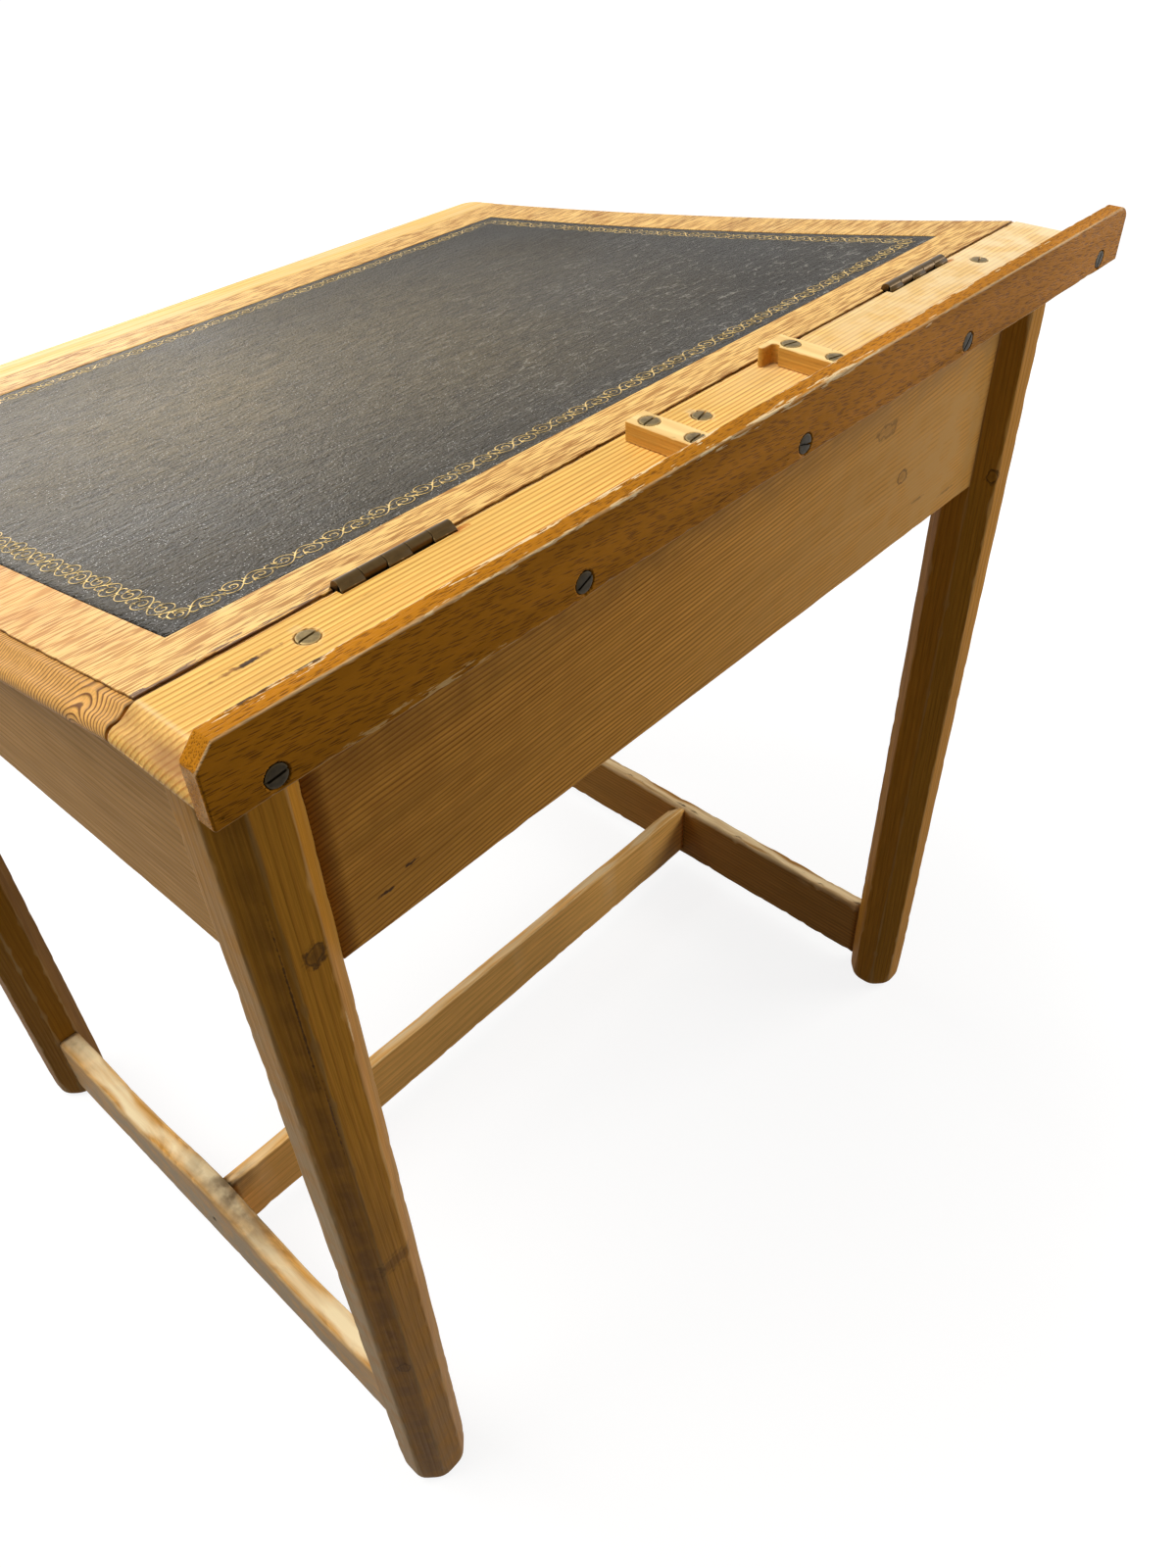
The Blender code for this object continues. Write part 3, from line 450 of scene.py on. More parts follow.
# Scales of the patterns, per metre along the grain and across it
RING_STRAY = (2.2, 13, 13)  # rings wander in waves 450 mm long and 77 mm apart
FIBRE = (28, 1100, 1100)  # 36 x 0.9 mm: real fibres are 3 x 0.03 mm, too fine to show
BARE_RUN = (10, 120, 120)  # runs of bare wood, 100 x 8 mm
DIRT = 75.0  # clouds of dirt and of painted light and shade, 13 mm
BEECH_BAND = (7, 90, 90)  # 140 x 11 mm
OAK_PORE = (72, 1000, 1000)  # 14 x 1 mm: real pores are 0.3 mm wide, too fine to show
OAK_BAND = (4, 60, 60)  # 250 x 17 mm
CREASE = (300, 950, 300)  # 3.3 x 1.1 mm
PEBBLE = 620.0  # pressed grain, 1.6 mm
HIDE_WAVE = (70, 260, 70)  # 14 x 3.8 mm
HIDE_CLOUD = 9.0  # 110 mm
SPECK = 780.0  # rubbed high spots and painted glints, one in 1.3 mm: real ones are finer and wouldn't show
STREWN = 30.0  # where the specks lie thick, 33 mm
NICK = 75.0  # pale scratch lines with painted glints at the far end, 13 mm apart
NICK_STRAY = 90.0  # bends of those lines, 11 mm
LEAF_RUB = 240.0  # rubbed gold, 4.2 mm
TARNISH = 420.0  # 2.4 mm

# Other values of the patterns
MOST = (0.3, 0.7)  # where most of a noise's values lie
BEECH_FLECK = (0.0080, 0.0007, 0.0007)  # metres: real flecks are half as long, drawn to show
BEECH_TURN = (0, -0.1, 0)  # the lip's grain runs out by 6 degrees
LATE_WOOD = [(0, 0), (0.5, 0.08), (0.76, 1), (0.9, 0.9), (1, 0)]  # darkness through a growth ring
GRAIN_TURN = {"X": (0, 0, 0), "Y": (0, 0, np.pi / 2), "Z": (0, -np.pi / 2, 0)}
MARKS = {  # share over an oval's reach, raggedness of its rim, and the rim's scale per metre
    "stain": ([(0.45, 1.0), (1.0, 0.0)], 0.4, (420, 420, 420)),  # 2.4 mm
    "knot": ([(0.0, 0.4), (0.45, 0.15), (0.68, 1.0), (0.9, 0.0)], 0.26, (240, 240, 240)),  # 4.2 mm
    "strip": ([(0.45, 1.0), (0.6, 0.0)], 1.3, (90, 800, 800)),  # splinters 11 x 1.3 mm
}
KNOT = linear("#3A2208")
NOWHERE = (0, 0, 0)
WHITE = (1.0, 1.0, 1.0, 1.0)
RAYS = ("Camera", "Glossy", "Transmission")

# Kinds of node in use: Blender's name, its settings, its inputs in order and the output that is read
PLACED = ("Vector", "Location", "Rotation", "Scale")
NOISE = ("Vector", "Scale", "Detail", "Distortion")
CELLS = ("Vector", "Scale", "Smoothness")
KINDS = {
    "object place": ("TexCoord", {}, (), "Object"),
    "wear": ("Attribute", {"attribute_name": "wear"}, (), "Fac"),
    "frame": ("Mapping", {"vector_type": "TEXTURE"}, PLACED, 0),
    "stretch": ("Mapping", {}, PLACED, 0),
    "noise": ("TexNoise", {}, NOISE, 0),
    "noise vector": ("TexNoise", {}, NOISE, 1),
    "cells": ("TexVoronoi", {"feature": "F1"}, CELLS, 0),
    "cell lot": ("TexVoronoi", {"feature": "F1"}, CELLS, "Color"),
    "soft cells": ("TexVoronoi", {"feature": "SMOOTH_F1"}, CELLS, 0),
    "cell edges": ("TexVoronoi", {"feature": "DISTANCE_TO_EDGE"}, CELLS, 0),
    "ramp": ("ValToRGB", {}, (0,), 0),
    "range": ("MapRange", {}, range(5), 0),
    "mix": ("Mix", {"data_type": "RGBA"}, (0, 6, 7), 2),
    "bump": ("Bump", {}, ("Height", "Strength", "Distance"), 0),
    "x": ("SeparateXYZ", {}, (0,), 0),
    "z": ("SeparateXYZ", {}, (0,), 2),
    "dim": ("VectorMath", {"operation": "SCALE"}, (0, "Scale"), 0),
    "length": ("VectorMath", {"operation": "LENGTH"}, (0,), "Value"),
    "distance": ("VectorMath", {"operation": "DISTANCE"}, (0, 1), "Value"),
}
for way in ("add", "multiply", "multiply_add", "divide", "fract", "less_than", "maximum"):
    KINDS[way] = ("Math", {"operation": way.upper()}, range(3), 0)
for way in ("multiply", "multiply_add", "divide", "subtract"):
    KINDS["vector " + way] = ("VectorMath", {"operation": way.upper()}, range(3), 0)
for ray in RAYS:
    KINDS[ray] = ("LightPath", {}, (), f"Is {ray} Ray")


def add_node(tree, kind, *values, stops=()):
    """Adds a node of one of KINDS, links or sets its inputs in order, and returns its output."""
    name, settings, inputs, out = KINDS[kind]
    node = tree.nodes.new("ShaderNode" + name)
    for key, value in settings.items():
        setattr(node, key, value)
    for key, value in zip(inputs, values):
        if isinstance(value, bpy.types.NodeSocket):
            tree.links.new(value, node.inputs[key])
        else:
            node.inputs[key].default_value = value
    for i, (place, value) in enumerate(stops):
        ramp = node.color_ramp.elements
        stop = ramp[i] if i < len(ramp) else ramp.new(place)
        stop.position = place
        stop.color = (value, value, value, 1.0)
    return node.outputs[out]


def finish_with(name, **sockets):
    """A new material with constants on its shader's sockets, what adds nodes to it, and the object's
    coordinates.
    """
    material = bpy.data.materials.new(name)
    material.use_nodes = True
    tree = material.node_tree
    for key, value in sockets.items():
        tree.nodes["Principled BSDF"].inputs[key.replace("_", " ")].default_value = value
    add = partial(add_node, tree)
    return material, add, add("object place")


def laid_on(material, colour, rough, height=None, strength=1.0, depth=0.0):
    """The material with its colour and roughness linked, and its relief where it has a height."""
    tree = material.node_tree
    shader = tree.nodes["Principled BSDF"]
    tree.links.new(colour, shader.inputs["Base Color"])
    tree.links.new(rough, shader.inputs["Roughness"])
    if height is not None:
        tree.links.new(add_node(tree, "bump", height, strength, depth), shader.inputs["Normal"])
    return material


def shaded(tint, share):
    """A colour times a share, no brighter than 1."""
    return tuple(min(1.0, share * v) for v in tint[:3]) + (1.0,)


def streaked(add, spot, scale, *detail):
    """Noise drawn out along the grain, with its own scale on each axis."""
    return add("noise", add("vector multiply", spot, scale), 1.0, *detail)


def away_from(add, spot, place, reach):
    """Distance from a place in shares of a reach on each axis: 1 on the rim of that oval."""
    apart = add("vector subtract", spot, place)
    return add("length", add("vector divide", apart, reach))


def rubbed_edges(add, along, wood, bare, rub):
    """Bare wood where the wear attribute is high, in runs that are long along the grain."""
    runs = streaked(add, along, BARE_RUN, 4.0)
    runs = add("range", runs, 0.36, 0.62, max(0.2 * rub, rub - 0.5), rub)
    return add("mix", add("multiply", add("wear"), runs), wood, bare)


def mark(add, spot, wood, place, reach, tint, strength, kind):
    """A ragged oval about its place: a filled stain, a knot with a dark rim, or a strip of splinters."""
    stops, rough, scale = MARKS[kind]
    ragged = streaked(add, spot, scale, 4.0)
    ragged = add("range", ragged, *MOST, -rough, rough)
    away = add("add", away_from(add, spot, place, reach), ragged)
    share = add("multiply", add("ramp", away, stops=stops), strength)
    return add("mix", share, wood, tint)


def dirt_and_painted_light(add, spot, wood, place, reach, tint, strength, thin=0.45):
    """A cloudy patch about a place that thins out over its reach: ground-in dirt and faded stretches, and
    also painted light and painted shade.
    """
    share = add("range", away_from(add, spot, place, reach), 1.0, 0.2, 0.0, strength)
    patch = add("range", add("noise", spot, DIRT, 5.0), 0.36, 0.6, thin, 1.0)
    return add("mix", add("multiply", share, patch), wood, tint)


def pine(
    name, early, late, bare, grain, pith, ring, contrast=1.0, rub=0.5, gloss=0.12, marks=(),
    tilt=(0, 0, 0), patina_and_painted_light=(), stray=0.012,
):
    """Sawn and waxed pine. Growth rings about a pith give the eye stripes on faces and arcs on ends,
    fibres a fine silk along the grain, and rubbed edges a paler line. A ring is its real width in metres.
    """
    material, add, spot = finish_with(name, Specular_IOR_Level=gloss)
    turn = tuple(a + b for a, b in zip(GRAIN_TURN[grain], tilt))
    along = add("frame", spot, pith, turn)
    slow = add("vector multiply", along, RING_STRAY)
    wander = add("vector subtract", add("noise vector", slow, 1.0, 2.0), (0.5, 0.5, 0.5))
    strayed = add("vector multiply_add", wander, (0.0, stray, stray), along)
    radius = add("length", add("vector multiply", strayed, (0, 1, 1)))
    line = add("ramp", add("fract", add("divide", radius, ring)), stops=LATE_WOOD)
    fibre = streaked(add, along, FIBRE, 3.0)
    patchy = add("noise", slow, 2.6, 3.0)
    share = add("range", patchy, *MOST, 0.55 * contrast, contrast)
    wood = add("mix", add("multiply", line, share), early, late)
    wood = add("dim", wood, add("range", fibre, *MOST, 0.8, 1.13))
    wood = add("dim", wood, add("range", patchy, 0.25, 0.75, 0.84, 1.1))
    wood = rubbed_edges(add, along, wood, bare, rub)
    # Patches of dirt and faded tone, and also painted light and painted shade where a caller gives them.
    for one in patina_and_painted_light:
        wood = dirt_and_painted_light(add, spot, wood, *one)
    for one in marks:
        wood = mark(add, spot, wood, *one)
    rough = add("range", fibre, *MOST, 0.62, 0.48)
    return laid_on(material, wood, rough, add("add", fibre, line), 0.3, 0.0003)


def beech(tints, marks):
    """Planed and stained beech: short dark flecks along the grain give the eye its brick-like dashes,
    and the edges are rubbed and chipped to bare cream wood.
    """
    material, add, spot = finish_with(
        "planed beech", Specular_IOR_Level=0.05, Specular_Tint=linear("#F0C070")
    )
    fleck = add("cells", add("frame", spot, NOWHERE, BEECH_TURN, BEECH_FLECK), 1.0)
    dark = add("ramp", fleck, stops=[(0.26, 1.0), (0.44, 0.0)])
    broad = streaked(add, spot, BEECH_BAND, 4.0)
    wood = add("mix", dark, tints.beech, tints.beech_fleck)
    wood = add("dim", wood, add("range", broad, *MOST, 0.8, 1.15))
    wood = rubbed_edges(add, spot, wood, tints.bare, 0.5)
    for one in marks:
        wood = mark(add, spot, wood, *one)
    rough = add("range", broad, *MOST, 0.55, 0.42)
    return laid_on(material, wood, rough, fleck, 0.4, 0.0005)


def oak_veneer(tints):
    """Sliced and waxed oak veneer: broken pore streaks on a pale honey ground, with slow bands of tone
    across the sheet, a dirty, rubbed outer edge and splinters along the rear.
    """
    material, add, spot = finish_with("sliced oak veneer", Specular_IOR_Level=0.15)
    streak = streaked(add, spot, OAK_PORE, 1.5, 0.3)
    pore = add("ramp", streak, stops=[(0.46, 0.0), (0.55, 1.0)])
    band = streaked(add, spot, OAK_BAND, 3.0)
    share = add("multiply", pore, add("range", band, *MOST, 0.7, 1.0))
    wood = add("mix", share, tints.oak, tints.oak_pore)
    wood = add("dim", wood, add("range", band, *MOST, 1.06, 0.88))
    handled = (ARRIS, LEATHER.mean(0)[1], TOP - 0.03)
    wood = dirt_and_painted_light(add, spot, wood, handled, (0.11, 0.27, 0.2), linear("#DA9444"), 0.55, 0.8)
    wood = rubbed_edges(add, spot, wood, shaded(tints.oak_pore, 0.3), 0.9)
    split = linear("#644630")
    wood = mark(add, spot, wood, (0.250, LID_REAR, TOP), (0.075, 0.0036, 0.006), split, 0.9, "strip")
    corner = (ARRIS - 0.003, LID_REAR, TOP)
    wood = mark(add, spot, wood, corner, (0.009, 0.003, 0.004), split, 0.9, "stain")
    rough = add("range", streak, *MOST, 0.4, 0.56)
    return laid_on(material, wood, rough, streak, 0.25, -0.0003)


def leather(tints):
    """Black skiver leather with a pressed grain: creases along the hide break up a grey sheen, its handled
    middle is brown and lighter as a painted sheen, hollows of the relief are painted shade and its tops
    painted highlight, pale specks are rubbed high spots and painted glints, and the far end has pale
    scratch lines with painted glints.
    """
    material, add, spot = finish_with(
        "grained skiver leather", Specular_IOR_Level=0.175, Specular_Tint=linear("#FFEAC6")
    )
    crease = add("noise", add("stretch", spot, NOWHERE, (0, 0, 0.25), CREASE), 1.0, 2.0, 1.5)
    waves = add("noise", add("stretch", spot, NOWHERE, (0, 0, 0.45), HIDE_WAVE), 1.0, 2.0, 1.0)
    height = add("multiply_add", add("soft cells", spot, PEBBLE, 0.5), -0.6, crease)
    height = add("multiply_add", waves, 1.6, height)
    cloudy = add("noise", spot, HIDE_CLOUD, 5.0)
    # The brown middle is set toward the sitter's right and front and is lighter than the charcoal edge:
    # partly handled leather, partly a painted sheen.
    centre = (*(LEATHER.mean(0)[:2] + (0.09, -0.05)), 0.0)
    apart = add("vector multiply", add("vector subtract", spot, centre), (3.2, 4.0, 0.0))
    outer = add("range", add("length", apart), 0.1, 1.1, 0.0, 1.0)
    hide = add("mix", outer, tints.leather, tints.leather_edge)
    hide = add("dim", hide, add("range", cloudy, *MOST, 0.75, 1.25))
    # Painted shade and painted highlight: the colour is darker in the relief's hollows and creases and
    # lighter on its high parts.
    hide = add("dim", hide, add("range", height, 0.55, 1.35, 0.45, 1.5))
    # Pale specks: rubbed high spots and painted glints off the grain, thickest toward the +X rear corner.
    speck_and_glint = add("range", add("cells", spot, SPECK), 0.26, 0.16, 0.0, 1.0)
    lot = add("x", add("cell lot", spot, SPECK))
    near = (LEATHER[1, 0], LEATHER[1, 1] - 0.05, TOP)
    rub = add("range", add("distance", spot, near), 0.42, 0.05, 0.02, 0.36)
    strewn = add("range", add("noise", spot, STREWN, 3.0), 0.35, 0.65, 0.2, 1.6)
    shown = add("less_than", lot, add("multiply", rub, strewn))
    speck_and_glint = add("multiply", add("multiply", speck_and_glint, shown), 0.75)
    hide = add("mix", speck_and_glint, hide, linear("#E4E1DA"))
    # Pale scratch lines toward the -X rear end, with painted glints along them.
    strayed = add("noise vector", spot, NICK_STRAY, 2.0)
    strayed = add("vector multiply_add", strayed, (0.02, 0.02, 0.02), spot)
    scratch_and_glint = add("range", add("cell edges", strayed, NICK), 0.05, 0.01, 0.0, 1.0)
    scratch_and_glint = add("multiply", scratch_and_glint, add("range", waves, 0.5, 0.62, 0.0, 1.0))
    far = (LEATHER[0, 0] + 0.12, LEATHER[1, 1], TOP)
    far_scratch_and_glint = add("range", add("distance", spot, far), 0.34, 0.05, 0.0, 0.36)
    hide = add("mix", add("multiply", scratch_and_glint, far_scratch_and_glint), hide, linear("#D8D2C4"))
    rough = add("range", cloudy, *MOST, 0.36, 0.48)
    return laid_on(material, hide, rough, height, 1.0, 0.0014)


def gilding(tints):
    """Gold leaf pressed into leather with hot tools: bright where it lies, brown where it is rubbed."""
    material, add, spot = finish_with("tooled gold leaf", Metallic=0.35)
    rub = add("ramp", add("noise", spot, LEAF_RUB, 4.0), stops=[(0.36, 1.0), (0.52, 0.0)])
    leaf = add("mix", rub, tints.gilt, shaded(tints.gilt, 0.35))
    return laid_on(material, leaf, add("range", rub, 0.0, 1.0, 0.34, 0.6))


def old_metal(name, tint, rough, mottle=1.0, grime_and_shade_below=None):
    """Old hardware: a dull metal with darker tarnish in patches, brighter rubbed edges, and black below a
    given
    height, where a hinge lies in its groove: grime there, and painted shade that darkens the slots.
    """
    material, add, spot = finish_with(name, Metallic=0.9)
    tarnish = add("noise", spot, TARNISH, 5.0)
    tone = add("range", tarnish, *MOST, 1 - 0.4 * mottle, 1 + 0.25 * mottle)
    metal = add("dim", tint[:3], tone)
    metal = add("mix", add("multiply", add("wear"), 0.6), metal, shaded(tint, 2.2))
    # Black below the axis: grime in the groove, and painted shade that makes the slots beside the knuckles
    # dark.
    if grime_and_shade_below is not None:
        clear_of_grime_and_shade = add("range", add("z", spot), grime_and_shade_below - 0.0003, grime_and_shade_below + 0.0003, 0.03, 1.0)
        metal = add("dim", metal, clear_of_grime_and_shade)
    gloss = add("range", tarnish, *MOST, rough + 0.12 * mottle, rough)
    return laid_on(material, metal, gloss, tarnish, 0.15 * mottle, 0.0002)


# Shapes of the pieces
def leg_skin(node, desk, seed):
    """Octagon carried up a leg: each corner is a quadratic curve that cuts it off, longer in a bell curve
    over the foot, which draws in.
    """
    low, high = corners(node)
    half = (high - low)[0] / 2
    chamfer = half - desk.chamfer
    corner = np.array([(half, chamfer), (chamfer, half)])
    corner = np.concatenate([corner, corner[::-1] * (-1, 1), -corner, corner[::-1] * (1, -1)])
    back = np.roll(corner, 1, 0) - corner
    on = np.roll(corner, -1, 0) - corner
    back, on = (d / np.hypot(*d.T)[:, None] for d in (back, on))
    u = np.linspace(0, 1, 5)[:, None]
    cut = ((1 - u) ** 2 * back[:, None] + u**2 * on[:, None]).reshape(-1, 2)
    base = np.repeat(corner, len(u), 0)
    foot = (desk.foot, 0.0)
    z = stations(low[2], high[2], 0.006, foot)
    shrink = 1 - drawn_in(z, low[2], high[2], foot) / half + 0.002 * drift(z, 0.25, seed)
    side = np.repeat(np.arange(8), len(u))
    trim = 1.3 * desk.ease * (1 + 0.5 * drift(z[:, None] + 1.7 * side, 0.04, seed + 1))
    trim += LEG_DENT * chips(z[:, None] + 1.7 * side, 0.02, 0.22, seed + 2)
    trim += FOOT_FLARE * np.exp(-(((z - low[2]) / (2 * desk.foot)) ** 2))[:, None]
    plan = base * shrink[:, None, None] + trim[..., None] * cut + (low + high)[:2] / 2
    z = z[:, None]
    if "front" in node:
        share = (z - low[2]) / (high[2] - low[2])
        z = low[2] + share * (lid_top(plan[..., 1], desk) - THICK - FIT - low[2])
    return columns(plan[..., 0], plan[..., 1], z), np.tile(4 * u[:, 0] * (1 - u[:, 0]), 8)


def rear_panel_skin(node, desk, seed):
    """Flat panel between two legs, with eased edges."""
    low, high = corners(node)
    reach = LEG_RIGHT[0, 0] - FIT
    x = stations(-reach, reach, 0.01)
    loop = round_loop()
    top = high[2]
    if node == "front_panel":
        top = float(lid_top(low[1], desk)) - THICK - FIT
    ease = worn(x, loop, desk.ease, seed)
    return bar(0, x, [(low[1], low[2])], columns(high[1] + 0 * x, top), ease, loop)


def side_panel_skin(node, desk, seed):
    """Flat panel whose top follows the underside of rail and lid."""
    low, high = corners(node)
    y = stations(LEG_FRONT[1, 1] + FIT, LEG_RIGHT[0, 1] - FIT, 0.01)
    top = np.minimum(TOP, lid_top(np.minimum(y, LID_REAR), desk)) - THICK - FIT
    loop = round_loop()
    return bar(1, y, [(low[0], low[2])], columns(high[0], top), worn(y, loop, desk.ease, seed), loop)


def slanted(points, axis, floor, slant, toward):
    """Shears a bar's upper half so that its top falls by slant from one side to the other."""
    across = points[..., axis]
    share = (across - across.min()) / (across.max() - across.min())
    share = share if toward > 0 else 1 - share
    lift = np.clip((points[..., 2] - floor) / (points[..., 2].max(1, keepdims=True) - floor), 0, 1)
    fallen = points.copy()
    fallen[..., 2] -= slant * share * lift**2
    return fallen


TREAD_LOOP = ((inner(9), (0.05, 0.12), (), (0.88, 0.95)), 5)


def trodden(across, along, seed, band):
    """Share of bare wood on a trodden top: full in a band whose middle wanders from side to side, and whose
    width wanders too, then falling off evenly. The band is its half width, that one's wander and its span.
    """
    width, vary, span = band
    away = np.abs(across - 0.25 * drift(along, 0.11, seed + 5)[:, None])
    return np.clip((width + vary * drift(along, span, seed + 6)[:, None] - away) / 0.4, 0, 1)


def side_stretcher_skin(node, desk, seed):
    """Bar between front and rear leg. Feet have hollowed the +X one on both sides of the joint."""
    low = corners(node)[0]
    middle = corners(node).mean(0)[0]
    worn_down = node.endswith("right")
    reach = (LEG_RIGHT[0, 1] - LEG_FRONT[1, 1]) / 2 - FIT
    centre = (LEG_RIGHT[0, 1] + LEG_FRONT[1, 1]) / 2
    y = stations(centre - reach, centre + reach, 0.005)
    s = (y - centre) / reach
    wave = (1 - np.cos(2 * np.pi * s)) / 2
    rise = np.where(np.abs(s) < 0.5, 1 - wave, 0)
    top = low[2] + TREAD + worn_down * (TREAD_RISE * rise - TREAD_HOLLOW * wave)
    top = top + TREAD_WAVE * drift(y, 0.06, seed)
    slant = TREAD_SLANT * (wave if worn_down else 1.0)
    loop = round_loop(*TREAD_LOOP)
    half = STRETCHER_WIDTH / 2
    inner_edge = (loop[0] > 0).all(1) & (not worn_down)
    ease = worn(y, loop, 2.4 * desk.ease, seed) * np.where(inner_edge, 2.0, 1.0)
    points, wear = bar(1, y, [(middle - half, low[2])], columns(middle + half, top), ease, loop)
    slant = np.broadcast_to(slant, y.shape)[:, None]
    points = slanted(points, 0, low[2] + TREAD / 2, slant, 1 if worn_down else -1)
    upper = np.clip((points[..., 2] - top[:, None] + slant + TREAD_SOFT) / TREAD_SOFT, 0, 1)
    bare = upper * trodden((points[..., 0] - middle) / half, y, seed, (0.8, 0.2, 0.12))
    return points, np.maximum(np.where(inner_edge, 0.9, 0.4) * wear, bare)


def cross_stretcher_skin(desk, seed):
    """Bar between the two side stretchers. Its top slants down to the sitter's side."""
    low, high = CROSS
    middle = (low + high)[1] / 2
    reach = (LEG_RIGHT[0, 0] + LEG_RIGHT[1, 0]) / 2 - STRETCHER_WIDTH / 2 - FIT
    x = stations(-reach, reach, 0.006)
    top = high[2] + CROSS_WAVE * drift(x, 0.09, seed)
    loop = round_loop(*TREAD_LOOP)
    half = STRETCHER_WIDTH / 2
    ease = worn(x, loop, 2.2 * desk.ease, seed)
    points, wear = bar(0, x, [(middle - half, low[2])], columns(middle + half, top), ease, loop)
    points = slanted(points, 1, (low + high)[2] / 2, CROSS_SLANT, -1)
    upper = points[..., 2] > high[2] - CROSS_SLANT - TREAD_SOFT / 2
    bare = trodden((points[..., 1] - middle) / half, x, seed, (0.7, 0.4, 0.07))
    return points, np.maximum(0.4 * wear, 0.8 * upper * bare)


def screw_places(stem, axes):
    """Places of the screws with a name's stem, on two of the axes."""
    nodes = sorted(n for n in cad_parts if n.startswith(stem))
    return np.array([corners(n).mean(0)[list(axes)] for n in nodes])


def rail_skin(desk, seed):
    """Board whose ends are moulded, with pits under its screws and room for the hinges."""
    low, high = RAIL
    screws = screw_places("rail_screw", (0, 1))
    marks = [close_to(x) for x in screws[:, 0]] + moulded_marks(desk)
    x = stations(low[0], high[0], 0.003, marks=marks)
    upper, lower = ogee(np.abs(x) - ARRIS, desk.ogee_step)
    lines = stations(low[1], high[1], 0.005, marks=[close_to(screws[0, 1])])
    shares = (high[1] - lines[::-1]) / (high[1] - low[1])
    loop = round_loop((shares[1:-1], inner(16), (), ()))
    ease = np.minimum(worn(x, loop, 0.7 * desk.ease, seed), RAIL_EASE)
    points, wear = bar(0, x, columns(low[1], TOP - lower), columns(high[1], TOP - upper), ease, loop)
    depth, rim = pits(points[..., 0], points[..., 1], screws)
    arris = np.clip(1 - np.abs(np.abs(points[..., 0]) - ARRIS) / ARRIS_RUB, 0, 1)
    on_top = loop[1][:, 1] > FLAT
    points[..., 2] -= on_top * depth
    return let_in(points, 1), np.maximum(wear, on_top * np.maximum(0.8 * rim, 0.7 * arris))


def lip_skin(desk, seed):
    """Strip on edge: its top tapers, and its ends are clipped at 45 degrees and rounded by a quarter
    circle.
    """
    low, high = LIP
    screws = screw_places("lip_screw", (0, 2))
    eased = (desk.ease, desk.ease)
    arc = LIP_ROUND * (1 - np.cos(np.linspace(0, np.pi / 2, 14)))
    clip = np.linspace(0, LIP_CLIP, 12)
    marks = [close_to(x) for x in screws[:, 0]] + [low[0] + arc, high[0] - clip]
    x = stations(low[0], high[0], 0.004, eased, marks)
    top = high[2] - LIP_TAPER * (high[0] - LIP_CLIP - x) / (high[0] - low[0])
    top = np.minimum(top, high[2] - LIP_CLIP + high[0] - x)
    beyond = np.clip(low[0] + LIP_ROUND - x, 0, LIP_ROUND)
    top = np.minimum(top, top - LIP_ROUND + np.sqrt(LIP_ROUND**2 - beyond**2))
    inset = drawn_in(x, low[0], high[0], eased)
    lines = stations(low[2], high[2], 0.004, marks=[close_to(screws[0, 1])])
    shares = (lines - low[2]) / (high[2] - low[2])
    loop = round_loop((inner(5), (), (), shares[1:-1]), 4)
    ease = np.minimum(worn(x, loop, 1.1 * desk.ease, seed), LIP_EASE)
    bottom = columns(low[1] + inset, low[2] + inset)
    points, wear = bar(0, x, bottom, columns(high[1] - inset, top - inset), ease, loop)
    depth = pits(points[..., 0], points[..., 2], screws)[0]
    points[..., 1] -= (loop[1][:, 0] > FLAT) * depth
    return points, wear


def block_skin(side, desk, seed):
    """Block along the rail's depth. The left one ends in a half-round nose with a notch behind it."""
    low, high = corners(f"stop_block_{side}")
    screws = screw_places(f"block_screw_{side}", (0, 1))
    eased = (0.6 * desk.ease, 0.6 * desk.ease)
    marks = [close_to(y) for y in screws[:, 1]]
    width = np.full(1, high[0])
    if side == "left":
        nose_end = low[1] + HOOK_NOSE
        notch = nose_end + HOOK_NOTCH
        round_nose = HOOK_NOSE / 2 * (1 - np.cos(np.linspace(0, np.pi, 15)))
        round_notch = HOOK_NOTCH * (1 - np.cos(np.linspace(0, np.pi, 15)))
        marks += [low[1] + round_nose, nose_end + round_notch, np.array([nose_end + 0.00002])]
    y = stations(low[1], high[1], 0.003, eased, marks)
    if side == "left":
        plain = high[0] - HOOK_OUT
        nose = np.sqrt(np.clip((HOOK_NOSE / 2) ** 2 - (y - low[1] - HOOK_NOSE / 2) ** 2, 0, None))
        hollow = np.sqrt(np.clip(HOOK_NOTCH**2 - (y - notch) ** 2, 0, None))
        width = np.where(y <= nose_end, high[0] - HOOK_NOSE / 2 + nose, plain - hollow)
    inset = drawn_in(y, low[1], high[1], eased)
    lines = stations(low[0], high[0], 0.00045)
    shares = (high[0] - lines[::-1]) / (high[0] - low[0])
    loop = round_loop((shares[1:-1], (), (), ()))
    ease = worn(y, loop, 0.6 * desk.ease, seed)
    top = columns(width - inset, high[2] - inset)
    points, wear = bar(1, y, columns(low[0] + inset, low[2]), top, ease, loop)
    depth = pits(points[..., 0], points[..., 1], screws)[0]
    on_top = loop[1][:, 1] > FLAT
    points[..., 2] -= on_top * depth
    return points, np.maximum(wear, on_top * 1.0)


